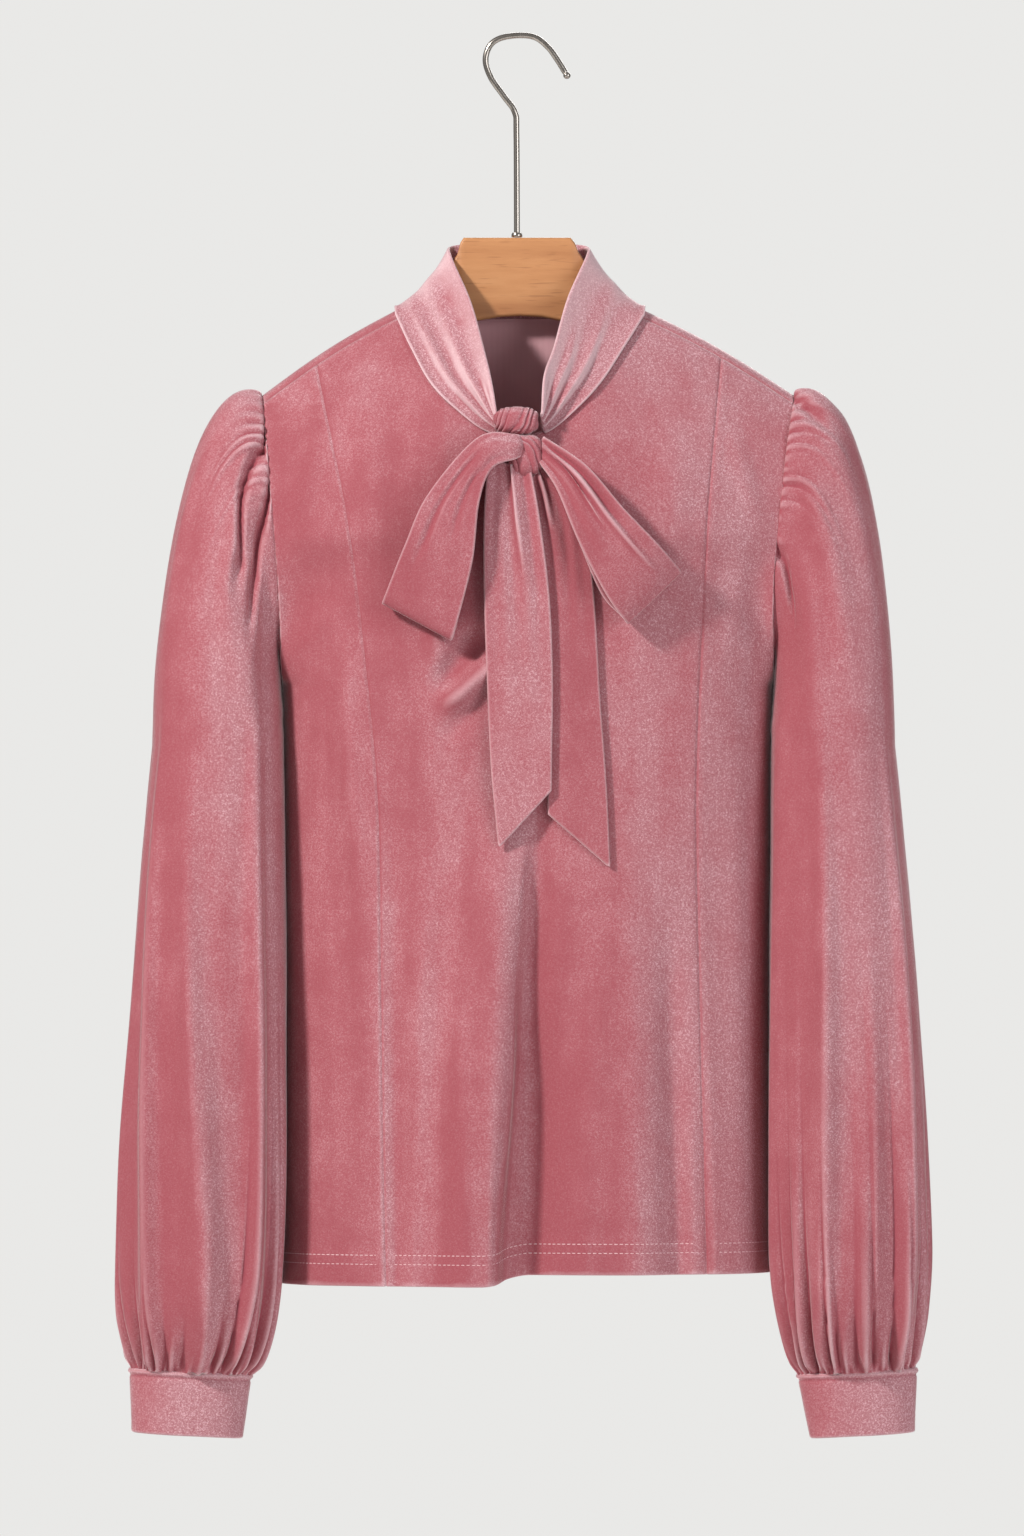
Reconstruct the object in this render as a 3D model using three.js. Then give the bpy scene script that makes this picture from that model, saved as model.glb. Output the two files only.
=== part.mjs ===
// A tie-neck blouse of stretch velvet, hung by its shoulders on a wooden hanger, in millimetres.
// X runs to the viewer's right, the front faces -Y and Z is up. The origin is the point inside
// the hook's bend that the hanger hangs by.
import * as THREE from "three";

// Cloth and seams.
const CLOTH = 1.8;
const TIE_CLOTH = 2.4;
const CUFF_CLOTH = 2.6;
const COLLAR_CLOTH = 2.6;
const SEAM = 0.32;
const HALF_SEAM = SEAM / 2;
const SLOPE_STEP = 0.01;
const EDGE_SHARE = 0.0005;

// Heights of the blouse below the hook.
const NECK_POINT_Z = -168.6;
const NECK_RISE_END_Z = -150;
const TIP_Z = -222;
const UNDERARM_Z = -402;
const HEM_LEFT_Z = -773;
const HEM_RIGHT_Z = -766;
const CUFF_TOP_Z = -826;
const CUFF_BOTTOM_Z = -864;
const CUFF_TILT = 3.8;
const TILT_FROM_Z = -780;

// Half widths at the shoulder line.
const NECK_HALF = 76;
const TIP_LEFT_X = -160;
const TIP_RIGHT_X = 170;

// How the cloth rolls over the hanger's arm and then falls away from it.
const ROLL = 8;
const SHOULDER_ROUND = 3;
const SEAM_DROP = 5;
const FRONT_FALL = 170;
const BACK_FALL = 120;
const SIDE_ROUNDNESS = 2.6;
const ARMHOLE_FLATNESS = 4;
const ARMHOLE_FRONT = 44;
const ARMHOLE_BACK = 15;
const ARMHOLE_ROUND = 95;
const ARMHOLE_REACH = 3;
const MEETING_POWER = 4;
const HEM_STEP_FROM = -24;
const HEM_STEP_TO = 6;

// How finely each piece is laid out.
const FRONT_LOWER_ROWS = 5;
const BACK_LOWER_ROWS = 4;
const UPPER_ROWS = [0.03, 0.08, 0.17, 0.3, 0.47, 0.68, 0.88, 1];
const ROLL_STEPS = 6;
const BACK_NECK_STEPS = 6;
const SIDE_STEPS = 5;
const SHOULDER_STEPS = 3;
const NECK_HALF_COLUMNS = [5, 14.6, 25, 35, 44, 52, 59, 65, 70, 73.5, 76];
const ARMHOLE_SAMPLES = 120;
const SEAM_ROUNDS = 8;
const SLEEVE_CAP_WAYS = [0, 0.06, 0.14, 0.25, 0.39, 0.56, 0.77];
const SLEEVE_ARM_WAYS = [1, 1.27, 1.53, 1.73, 1.86, 1.94, 2];
const CUFF_COLUMNS = 40;
const COLLAR_ROWS = 8;
const RIBBON_COLUMNS = 6;
const LOOP_STEPS = 25;
const TAIL_STEPS = 12;
const KNOT_RINGS = 10;
const KNOT_COLUMNS = 24;
const WIRE_SIDES = 8;
const HOOK_STEPS = 30;

const ROSE = { color: 0xb45a68, roughness: 0.9, metalness: 0 };
const WOOD = { color: 0xc98a52, roughness: 0.55, metalness: 0 };
const STEEL = { color: 0x9a948c, roughness: 0.3, metalness: 1 };

// The torso's outline from the front and its depth, row by row.
const TORSO = [
  { z: -773, left: -150, right: 157, front: 80, back: 22 },
  { z: -640, left: -147, right: 155, front: 77, back: 21 },
  { z: -500, left: -145, right: 154, front: 74, back: 20 },
  { z: -402, left: -146, right: 155, front: 72, back: 19 },
  { z: -325, left: -151, right: 158, front: 70, back: 19 },
  { z: -222, left: -160, right: 170, front: 68, back: 19 },
  { z: -150, left: -165, right: 175, front: 66, back: 19 },
];

// The princess seams that divide the front, as seen from the front.
const PRINCESS = [
  { z: -773, left: -82.5, right: 115.5 },
  { z: -680, left: -84.5, right: 113 },
  { z: -570, left: -86, right: 110.5 },
  { z: -473, left: -88, right: 109 },
  { z: -387, left: -96, right: 111.6 },
  { z: -300, left: -107, right: 116 },
  { z: -200, left: -127, right: 125 },
  { z: -180, left: -129, right: 126 },
];

// The front neckline from its left shoulder point to its right one.
const NECKLINE = [
  { x: -76, z: -173.6 },
  { x: -68, z: -191.6 },
  { x: -54.6, z: -216 },
  { x: -37, z: -233 },
  { x: -20.5, z: -244 },
  { x: 0, z: -248.5 },
  { x: 16, z: -244.5 },
  { x: 31, z: -234 },
  { x: 49.6, z: -215 },
  { x: 65, z: -191.6 },
  { x: 76, z: -173.6 },
];

// Folds of the front: a ridge over x, from full depth at the hem to none at its top.
const FRONT_FOLDS = [
  { hem: -21, top: -16, from: -480, depth: 17, leftWidth: 46, rightWidth: 10 },
  { hem: -86, top: -92, from: -330, depth: 6, leftWidth: 30, rightWidth: 7 },
  { hem: 72, top: 62, from: -400, depth: 9, leftWidth: 34, rightWidth: 20 },
  { hem: 122, top: 116, from: -520, depth: 5, leftWidth: 6, rightWidth: 20 },
  { hem: -122, top: -104, from: -300, depth: 5, leftWidth: 14, rightWidth: 18 },
];

// The sleeves below the underarm, seen from the front, with their depth front to back.
const SLEEVE_LEFT = [
  { z: -440, outer: -228, inner: -148.5, middle: -18, depth: 38 },
  { z: -520, outer: -235.5, inner: -148, middle: -26, depth: 39 },
  { z: -600, outer: -241, inner: -148, middle: -32, depth: 41 },
  { z: -680, outer: -246.5, inner: -148.5, middle: -36, depth: 43 },
  { z: -750, outer: -249, inner: -150, middle: -38, depth: 44 },
  { z: -790, outer: -247.5, inner: -154, middle: -38, depth: 41 },
  { z: -812, outer: -243.5, inner: -159.5, middle: -38, depth: 33 },
  { z: -826, outer: -241, inner: -167, middle: -38, depth: 23 },
];
const SLEEVE_RIGHT = [
  { z: -440, outer: 232.5, inner: 157.5, middle: -18, depth: 38 },
  { z: -520, outer: 240.5, inner: 158.5, middle: -26, depth: 39 },
  { z: -600, outer: 247, inner: 159, middle: -32, depth: 41 },
  { z: -680, outer: 251.5, inner: 159.5, middle: -36, depth: 43 },
  { z: -750, outer: 253, inner: 160.5, middle: -38, depth: 44 },
  { z: -790, outer: 249.5, inner: 163.5, middle: -38, depth: 41 },
  { z: -812, outer: 246, inner: 168, middle: -38, depth: 33 },
  { z: -826, outer: 244.5, inner: 173, middle: -38, depth: 23 },
];
const CUFF_LEFT = [
  { z: -826, outer: -242, inner: -166, middle: -38, depth: 23 },
  { z: -867, outer: -240.5, inner: -172, middle: -38, depth: 20 },
];
const CUFF_RIGHT = [
  { z: -826, outer: 246, inner: 171.5, middle: -38, depth: 23 },
  { z: -867, outer: 244.5, inner: 180, middle: -38, depth: 20 },
];

// The back neckline, from the centre to the shoulder point.
const BACK_NECK = [
  { x: 0, z: -174 },
  { x: 30, z: -174.2 },
  { x: 60, z: -175.4 },
  { x: 76, z: -176.6 },
];

// Long folds of the sleeves, by angle from the outer edge towards the front.
const SLEEVE_FOLDS = [
  { angle: 20, width: 12, depth: 4 },
  { angle: 62, width: 15, depth: 6 },
  { angle: 104, width: 13, depth: 7 },
  { angle: 148, width: 15, depth: 5 },
  { angle: 200, width: 18, depth: 4 },
  { angle: 250, width: 16, depth: 5 },
  { angle: 310, width: 18, depth: 5 },
];

// Folds that fall from the gathered cap. A fold turns from its angle as it goes down.
const CAP_FOLDS = [
  { angle: 62, turn: -8, width: 9, depth: 7, crest: 0.3, end: 0.8 },
  { angle: 96, turn: -30, width: 9, depth: 6, crest: 0.5, end: 1.1 },
  { angle: 30, turn: 10, width: 9, depth: 3, crest: 0.3, end: 0.9 },
  { angle: 330, turn: -10, width: 12, depth: 4, crest: 0.3, end: 1 },
];
const CUFF_GATHERS = 32;
const GATHER_DEPTH = 1.5;
const CAP_GATHERS_FULL = 0.1;
const CAP_GATHERS_END = 0.4;
const CUFF_GATHERS_FROM = 1.78;
const LONG_FOLDS_FROM = 0.6;
const LONG_FOLDS_FULL = 1.9;
const LONG_FOLDS_TAKEN = 0.6;
const CAP_GATHER_SPREAD = 55;
const SQUARENESS = 0.86;
const CAP_PUSH = 0.57;
const CAP_LIFT = 0.26;
const CAP_FALL = 0.9;
const CAP_FALL_HIGH = 0.1;

// The collar's folded top edge, by share of its seam from the knot to the centre back.
const COLLAR_LEFT = [
  { share: 0, x: -14.3, y: -68, z: -236 },
  { share: 0.14, x: -17.5, y: -58, z: -217 },
  { share: 0.3, x: -22.5, y: -43, z: -196 },
  { share: 0.46, x: -31, y: -24, z: -165 },
  { share: 0.57, x: -42.5, y: -6, z: -137 },
  { share: 0.66, x: -42, y: 10, z: -130 },
  { share: 0.8, x: -26, y: 13, z: -128.5 },
  { share: 1, x: 0, y: 13, z: -128 },
];
const COLLAR_RIGHT = [
  { share: 0, x: 13.3, y: -68, z: -234 },
  { share: 0.14, x: 15, y: -58, z: -212 },
  { share: 0.3, x: 21, y: -43, z: -195 },
  { share: 0.46, x: 30, y: -24, z: -163 },
  { share: 0.57, x: 41, y: -6, z: -137 },
  { share: 0.66, x: 41, y: 10, z: -130 },
  { share: 0.8, x: 26, y: 13, z: -128.5 },
  { share: 1, x: 0, y: 13, z: -128 },
];
const COLLAR_END_X = 14.6;
const COLLAR_GAP = 0.5;
const COLLAR_BULGE = 7;
const COLLAR_FURROWS = [
  { rise: 0.36, width: 0.09, depth: 1.6 },
  { rise: 0.64, width: 0.08, depth: 1.4 },
];
const FURROWS_FULL_TO = 0.25;
const FURROWS_FADED_AT = 0.6;
const FURROWS_LOST = 0.8;

// Ribbons of the bow: the middle line, how far it lifts off the front, and half its width.
const LOOP_LEFT = [
  { x: -7.4, z: -256.5, lift: 12.5, halfX: -0.4, halfZ: 6.5, pleat: 1.4 },
  { x: -25, z: -262, lift: 19, halfX: -4, halfZ: 9, pleat: 1.4 },
  { x: -41, z: -288, lift: 21, halfX: -15, halfZ: 2.5, pleat: 0.8 },
  { x: -50, z: -321, lift: 20, halfX: -20, halfZ: 5, pleat: 0 },
  { x: -61, z: -356, lift: 16, halfX: -20.8, halfZ: 10.5, pleat: 0 },
  { x: -63.5, z: -363, lift: 10.5, halfX: -20.8, halfZ: 11.2, pleat: 0 },
  { x: -61, z: -356, lift: 5, halfX: -20.8, halfZ: 10.5, pleat: 0 },
  { x: -50, z: -321, lift: 5, halfX: -19, halfZ: 5, pleat: 0 },
  { x: -41, z: -288, lift: 6.5, halfX: -13, halfZ: 2.5, pleat: 0.6 },
  { x: -25, z: -262, lift: 8, halfX: -4, halfZ: 8, pleat: 1 },
  { x: -7.8, z: -257.5, lift: 6.5, halfX: -0.4, halfZ: 5.5, pleat: 1 },
];
const LOOP_RIGHT = [
  { x: 14.4, z: -258.5, lift: 12.5, halfX: 1, halfZ: 6.5, pleat: 1.4 },
  { x: 32, z: -275, lift: 19, halfX: 8.7, halfZ: 6.8, pleat: 1.4 },
  { x: 50, z: -304, lift: 22, halfX: 13.6, halfZ: 9.3, pleat: 0.8 },
  { x: 68, z: -330, lift: 21, halfX: 15.2, halfZ: 15, pleat: 0 },
  { x: 79, z: -344, lift: 17, halfX: 16.1, halfZ: 15.5, pleat: 0 },
  { x: 82.5, z: -348.5, lift: 11.5, halfX: 16.1, halfZ: 15.5, pleat: 0 },
  { x: 79, z: -344, lift: 6, halfX: 16.1, halfZ: 15.5, pleat: 0 },
  { x: 66, z: -331, lift: 6, halfX: 15.2, halfZ: 15, pleat: 0 },
  { x: 49, z: -305, lift: 8.5, halfX: 12, halfZ: 9.3, pleat: 0.6 },
  { x: 32, z: -276, lift: 10.5, halfX: 7.5, halfZ: 6.8, pleat: 1 },
  { x: 14.9, z: -259, lift: 8.5, halfX: 1, halfZ: 5.5, pleat: 1 },
];
const TAIL_LEFT = [
  { x: -6.3, z: -271, lift: 9.6, halfX: 11.5, halfZ: -3.8, pleat: 1.6 },
  { x: -5, z: -300, lift: 9, halfX: 16.5, halfZ: 0, pleat: 1.8 },
  { x: -1.9, z: -350, lift: 8, halfX: 19.4, halfZ: 0, pleat: 1 },
  { x: 0, z: -402, lift: 7.4, halfX: 19.4, halfZ: 2.5, pleat: 0.3 },
  { x: 1, z: -446, lift: 7.4, halfX: 18, halfZ: 9, pleat: 0 },
  { x: 3, z: -484.5, lift: 7.4, halfX: 15.6, halfZ: 17, pleat: 0 },
];
const TAIL_RIGHT = [
  { x: 11.2, z: -270.4, lift: 6.5, halfX: 3.4, halfZ: 4.2, pleat: 0.5 },
  { x: 20, z: -288, lift: 3.6, halfX: 11.5, halfZ: 1.5, pleat: 1 },
  { x: 26.5, z: -312, lift: 3.6, halfX: 14, halfZ: 0, pleat: 1 },
  { x: 29.5, z: -350, lift: 3.2, halfX: 15.5, halfZ: 0, pleat: 0.6 },
  { x: 32, z: -406, lift: 3, halfX: 16.4, halfZ: -2, pleat: 0 },
  { x: 35, z: -455, lift: 3, halfX: 17.4, halfZ: -8, pleat: 0 },
  { x: 36.4, z: -498, lift: 3, halfX: 18.4, halfZ: -16, pleat: 0 },
];

// The two wraps of the knot: centre, half sizes and how many pleats show round them.
const KNOTS = [
  {
    name: "knot_upper",
    x: -0.6,
    z: -240.2,
    halfX: 12.8,
    halfY: 10,
    halfZ: 8.4,
    slantX: -0.35,
    slantZ: 1,
    pleats: 2.5,
  },
  {
    name: "knot_lower",
    x: 3.4,
    z: -261,
    halfX: 11,
    halfY: 8.5,
    halfZ: 12.6,
    slantX: 1,
    slantZ: 0.35,
    pleats: 2,
  },
];
const KNOT_STAND = 0.6;
const KNOT_SQUARENESS = 0.9;
const KNOT_GROOVE = 0.1;
const KNOT_END_ANGLE = 1.45;
const RIBBON_PLEATS = 3;

// Hanger: a flat wooden body, its steel hook and the ferrule between them.
const WOOD_BEVEL = 2.6;
const WOOD_TOP_Z = -124;
const ARM_DROP = 3;
const WOOD_SECTIONS = [
  { x: -149, inset: 9, bottom: -230, thick: 1.5 },
  { x: -147.5, inset: 3, bottom: -235, thick: 3.5 },
  { x: -144, inset: 0, bottom: -238, thick: 5 },
  { x: -120, inset: 0, bottom: -221, thick: 5 },
  { x: -98, inset: 0, bottom: -208, thick: 5 },
  { x: -76, inset: 0, bottom: -197, thick: 5 },
  { x: -58, top: -159, bottom: -189, thick: 5 },
  { x: -46, top: -145, bottom: -184, thick: 5 },
  { x: -39, top: -134.5, bottom: -180.5, thick: 5 },
  { x: -37, top: -127, bottom: -179.7, thick: 5 },
  { x: -35, top: -124, bottom: -178.9, thick: 5 },
  { x: -28, top: -124, bottom: -176, thick: 5 },
  { x: -14, top: -124, bottom: -173.5, thick: 5 },
  { x: 0, top: -124, bottom: -172.7, thick: 5 },
  { x: 14, top: -124, bottom: -173.5, thick: 5 },
  { x: 26, top: -124, bottom: -176, thick: 5 },
  { x: 31.6, top: -124, bottom: -178.4, thick: 5 },
  { x: 34, top: -127, bottom: -179.4, thick: 5 },
  { x: 36.6, top: -133.3, bottom: -180.5, thick: 5 },
  { x: 46, top: -146, bottom: -184, thick: 5 },
  { x: 58, top: -159, bottom: -189, thick: 5 },
  { x: 76, inset: 0, bottom: -197, thick: 5 },
  { x: 98, inset: 0, bottom: -208, thick: 5 },
  { x: 128, inset: 0, bottom: -223, thick: 5 },
  { x: 153, inset: 0, bottom: -236, thick: 5 },
  { x: 156.5, inset: 3, bottom: -234, thick: 3.5 },
  { x: 158, inset: 9, bottom: -229, thick: 1.5 },
];
const WIRE_RADIUS = 1.85;
const BALL_RADIUS = 2.3;
const BALL_FROM_ANGLE = -0.9;
const BALL_TO_ANGLE = 1.45;
const BALL_STEPS = 5;
const FERRULE_RADIUS = 3.4;
const FERRULE_HEIGHT = 3;
const HOOK = [
  { x: -1.9, z: -123.7 },
  { x: -2.2, z: -60 },
  { x: -3.2, z: -46 },
  { x: -10, z: -36 },
  { x: -18, z: -24.5 },
  { x: -21.4, z: -14 },
  { x: -19, z: -5 },
  { x: -12.5, z: 0 },
  { x: -1, z: 1.9 },
  { x: 9.5, z: 0.6 },
  { x: 17.5, z: -5.5 },
  { x: 23.4, z: -13.5 },
  { x: 28, z: -21 },
];

// A cubic over one span, t from 0 to 1, with its slopes at both ends.
function cubic(a, b, startSlope, endSlope, t) {
  const t2 = t * t;
  const t3 = t2 * t;
  const ends = (2 * t3 - 3 * t2 + 1) * a + (3 * t2 - 2 * t3) * b;
  return ends + (t3 - 2 * t2 + t) * startSlope + (t3 - t2) * endSlope;
}

// A smooth value of one column of a table, at a value of another.
function between(table, key, column, value) {
  const last = table.length - 1;
  const order = table[0][key] > table[last][key] ? -1 : 1;
  let i = 0;
  while (i < last - 1 && order * table[i + 1][key] < order * value) i += 1;
  const a = table[i];
  const b = table[i + 1];
  const before = table[Math.max(i - 1, 0)];
  const after = table[Math.min(i + 2, last)];
  const span = b[key] - a[key];
  const slope = (p, q) => ((q[column] - p[column]) / (q[key] - p[key])) * span;
  const t = THREE.MathUtils.clamp((value - a[key]) / span, 0, 1);
  return cubic(a[column], b[column], slope(before, b), slope(a, after), t);
}

// The same by the place in the table, a whole number at each row.
function along(table, column, place) {
  const last = table.length - 1;
  const i = Math.min(Math.floor(place), last - 1);
  const at = (k) => table[THREE.MathUtils.clamp(k, 0, last)][column];
  const startSlope = (at(i + 1) - at(i - 1)) / 2;
  const endSlope = (at(i + 2) - at(i)) / 2;
  return cubic(at(i), at(i + 1), startSlope, endSlope, place - i);
}

const ramp = (value, from, to) => {
  const t = THREE.MathUtils.clamp((value - from) / (to - from), 0, 1);
  return t * t * (3 - 2 * t);
};
const bell = (distance, width) => Math.exp(-((distance / width) ** 2));
const evenly = (from, to, count) =>
  Array.from({ length: count + 1 }, (_, i) => from + ((to - from) * i) / count);
const signedPower = (value, power) => Math.sign(value) * Math.abs(value) ** power;

// The crest of the shoulder fold above x.
function crest(x) {
  const tip = Math.abs(x < 0 ? TIP_LEFT_X : TIP_RIGHT_X);
  const share = (Math.abs(x) - NECK_HALF) / (tip - NECK_HALF);
  const round = SHOULDER_ROUND * Math.sin(Math.PI * THREE.MathUtils.clamp(share, 0, 1));
  return Math.min(NECK_RISE_END_Z, NECK_POINT_Z + (TIP_Z - NECK_POINT_Z) * share + round);
}

// How far the cloth stands from the hanger's plane, at a drop below the crest.
function standOff(drop, full, fall) {
  const below = Math.max(drop, 0);
  const roll = ROLL * Math.sqrt(1 - (1 - Math.min(below / ROLL, 1)) ** 2);
  return roll + (full - ROLL) * (1 - (1 - Math.min(below / fall, 1)) ** 2);
}

// How far the front's folds stand out at a point.
function frontFold(x, z) {
  let sum = 0;
  for (const fold of FRONT_FOLDS) {
    const share = THREE.MathUtils.clamp((fold.from - z) / (fold.from - HEM_LEFT_Z), 0, 1);
    const middle = fold.top + (fold.hem - fold.top) * share;
    const width = x < middle ? fold.leftWidth : fold.rightWidth;
    sum += fold.depth * ramp(share, 0, 1) * bell(x - middle, width);
  }
  return sum;
}

const fullDepth = (side, z) => between(TORSO, "z", side < 0 ? "front" : "back", z);
const fallOf = (side) => (side < 0 ? FRONT_FALL : BACK_FALL);

// The half depth of the armhole, where the cloth beside it stands off by so much.
function armholeDepth(side, z, off) {
  if (z <= UNDERARM_Z || off <= 0) return 0;
  const rise = Math.min((z - UNDERARM_Z) / ARMHOLE_ROUND, 1);
  const round = (side < 0 ? ARMHOLE_FRONT : ARMHOLE_BACK) * Math.sqrt(1 - (1 - rise) ** 2);
  return (round ** -MEETING_POWER + off ** -MEETING_POWER) ** (-1 / MEETING_POWER);
}

// A point of the torso. side is -1 for the front and 1 for the back, across runs from -1 to 1.
function torso(side, across, z) {
  const left = between(TORSO, "z", "left", z);
  const right = between(TORSO, "z", "right", z);
  const g = Math.sin((Math.PI / 2) * across);
  const x = (left + right) / 2 + ((right - left) / 2) * g;
  const beside = ramp(z, UNDERARM_Z, UNDERARM_Z + ARMHOLE_ROUND);
  const power = SIDE_ROUNDNESS + (ARMHOLE_FLATNESS - SIDE_ROUNDNESS) * beside;
  const root = SIDE_ROUNDNESS + (1 - SIDE_ROUNDNESS) * beside;
  const swell = Math.max(1 - Math.abs(g) ** power, 0) ** (1 / root);
  const full = fullDepth(side, z) + (side < 0 ? frontFold(x, z) : 0);
  const off = standOff(crest(x) - z, full, fallOf(side));
  const edge = armholeDepth(side, z, off) * Math.abs(g) ** (ARMHOLE_REACH * (1 - beside));
  return new THREE.Vector3(x, side * (edge * (1 - swell) + off * swell), z);
}

// The share across that lies at x.
function acrossAt(x, z) {
  const left = between(TORSO, "z", "left", z);
  const right = between(TORSO, "z", "right", z);
  const g = THREE.MathUtils.clamp((2 * x - left - right) / (right - left), -1, 1);
  return Math.asin(g) / (Math.PI / 2);
}

const frontY = (x, z) => torso(-1, acrossAt(x, z), z).y;

// The way the torso's outside faces at a point.
function torsoNormal(side, across, z) {
  if (Math.abs(across) > 1 - EDGE_SHARE && z <= UNDERARM_Z) {
    return new THREE.Vector3(Math.sign(across), 0, 0);
  }
  const low = Math.max(across - SLOPE_STEP, -1);
  const high = Math.min(across + SLOPE_STEP, 1);
  const sideways = torso(side, high, z).sub(torso(side, low, z));
  const top = Math.min(z + HALF_SEAM, crest(torso(side, across, z).x) - SLOPE_STEP);
  const up = torso(side, across, top).sub(torso(side, across, top - SEAM));
  return sideways.cross(up).normalize().multiplyScalar(-side);
}

// A closed wall over a lattice of outer and inner points. keep says which of its cells are there.
function wall(outer, inner, wrap = false, keep = () => true) {
  const columns = outer[0].length;
  const used = new Map();
  const positions = [];
  const index = [];
  const edges = new Map();
  const name = ([i, j]) => i + ":" + (j % columns);
  const vertex = (layer, corner) => {
    const key = (layer === outer ? "out" : "in") + name(corner);
    if (!used.has(key)) {
      used.set(key, used.size);
      positions.push(...layer[corner[0]][corner[1] % columns].toArray());
    }
    return used.get(key);
  };
  const quad = (a, b, c, d) => index.push(a, b, c, a, c, d);
  for (let i = 0; i < outer.length - 1; i += 1) {
    for (let j = 0; j < (wrap ? columns : columns - 1); j += 1) {
      if (!keep(i, j)) continue;
      const ring = [
        [i, j],
        [i, j + 1],
        [i + 1, j + 1],
        [i + 1, j],
      ];
      const [a, b, c, d] = ring.map((corner) => vertex(inner, corner));
      quad(...ring.map((corner) => vertex(outer, corner)));
      quad(c, b, a, d);
      ring.forEach((from, k) => {
        const to = ring[(k + 1) % 4];
        edges.set(name(from) + ">" + name(to), [from, to]);
      });
    }
  }
  for (const [key, [from, to]] of edges) {
    if (edges.has(key.split(">").reverse().join(">"))) continue;
    quad(vertex(outer, from), vertex(inner, from), vertex(inner, to), vertex(outer, to));
  }
  return closed(positions, index);
}

// Points all round a circle, with the last left off because it is the first again.
const allRound = (count) => evenly(0, 2 * Math.PI, count).slice(0, -1);

const centreOf = (ring) =>
  ring.reduce((sum, p) => sum.add(p), new THREE.Vector3()).divideScalar(ring.length);

// A solid along rings of points, with a flat fan over each end.
function solidAlong(rings) {
  const count = rings[0].length;
  const positions = rings.flat().flatMap((point) => point.toArray());
  const index = [];
  for (let i = 0; i < rings.length - 1; i += 1) {
    for (let j = 0; j < count; j += 1) {
      const a = i * count + j;
      const b = i * count + ((j + 1) % count);
      index.push(a, b, b + count, a, b + count, a + count);
    }
  }
  for (const i of [0, rings.length - 1]) {
    const middle = positions.length / 3;
    positions.push(...centreOf(rings[i]).toArray());
    for (let j = 0; j < count; j += 1) {
      const a = i * count + j;
      const b = i * count + ((j + 1) % count);
      if (i === 0) index.push(b, a, middle);
      else index.push(a, b, middle);
    }
  }
  return closed(positions, index);
}

// A geometry with its faces turned outwards.
function closed(positions, index) {
  let volume = 0;
  const at = (k) => new THREE.Vector3().fromArray(positions, 3 * k);
  for (let k = 0; k < index.length; k += 3) {
    volume += at(index[k]).dot(at(index[k + 1]).cross(at(index[k + 2])));
  }
  const geometry = new THREE.BufferGeometry();
  geometry.setAttribute("position", new THREE.Float32BufferAttribute(positions, 3));
  geometry.setIndex(volume > 0 ? index : index.reverse());
  geometry.computeVertexNormals();
  return geometry;
}

const blouse = new THREE.Group();

function add(name, geometry, material) {
  const mesh = new THREE.Mesh(geometry, new THREE.MeshStandardMaterial(material));
  mesh.name = name;
  blouse.add(mesh);
}

// The hem's height at x.
const hemZ = (x) => HEM_LEFT_Z + (HEM_RIGHT_Z - HEM_LEFT_Z) * ramp(x, HEM_STEP_FROM, HEM_STEP_TO);

// The heights of a column: even up to the underarm, then closer where the armhole curves.
function climb(lowerRows, bottom, top) {
  const lower = evenly(bottom, UNDERARM_Z, lowerRows);
  return [...lower, ...UPPER_ROWS.map((share) => UNDERARM_Z + (top - UNDERARM_Z) * share)];
}

// The outer and inner point of the torso's cloth.
function clothAt(side, across, z) {
  const outer = torso(side, across, z);
  return [outer, outer.clone().addScaledVector(torsoNormal(side, across, z), -CLOTH)];
}

const onShoulder = (x) => ({ x, z: crest(x) - SEAM_DROP - HALF_SEAM });
const onNeckline = (x) => ({ x, z: between(NECKLINE, "x", "z", x) });

// The places across the neck where the cloth has a column.
const neckColumns = [...NECK_HALF_COLUMNS.map((x) => -x).reverse(), ...NECK_HALF_COLUMNS];

// A panel of the front, from its top points down to the hem between two edges.
function frontPanel(name, leftEdge, rightEdge, tops) {
  const rows = FRONT_LOWER_ROWS + 1 + UPPER_ROWS.length;
  const outer = Array.from({ length: rows }, () => []);
  const inner = Array.from({ length: rows }, () => []);
  tops.forEach((top, j) => {
    const span = rightEdge(top.z) - leftEdge(top.z);
    const free = (acrossAt(top.x, top.z) - leftEdge(top.z)) / span;
    const share = j === 0 ? 0 : j === tops.length - 1 ? 1 : free;
    const acrossFor = (z) => leftEdge(z) + (rightEdge(z) - leftEdge(z)) * share;
    const bottom = hemZ(torso(-1, acrossFor(HEM_LEFT_Z), HEM_LEFT_Z).x);
    climb(FRONT_LOWER_ROWS, bottom, top.z).forEach((z, i) => {
      [outer[i][j], inner[i][j]] = clothAt(-1, acrossFor(z), z);
    });
  });
  add(name, wall(outer, inner), ROSE);
}

// Where a princess seam meets the shoulder.
function seamTop(column) {
  let x = between(PRINCESS, "z", column, TIP_Z);
  for (let i = 0; i < SEAM_ROUNDS; i += 1) x = between(PRINCESS, "z", column, onShoulder(x).z);
  return x;
}

// The places along a shoulder where the cloth has a column, from the tip to the neck.
function shoulderColumns(tip, seam, offset) {
  const neck = Math.sign(tip) * NECK_HALF;
  return {
    nearTip: evenly(tip, seam + offset, SIDE_STEPS),
    nearNeck: evenly(seam - offset, neck, SHOULDER_STEPS),
  };
}

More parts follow.
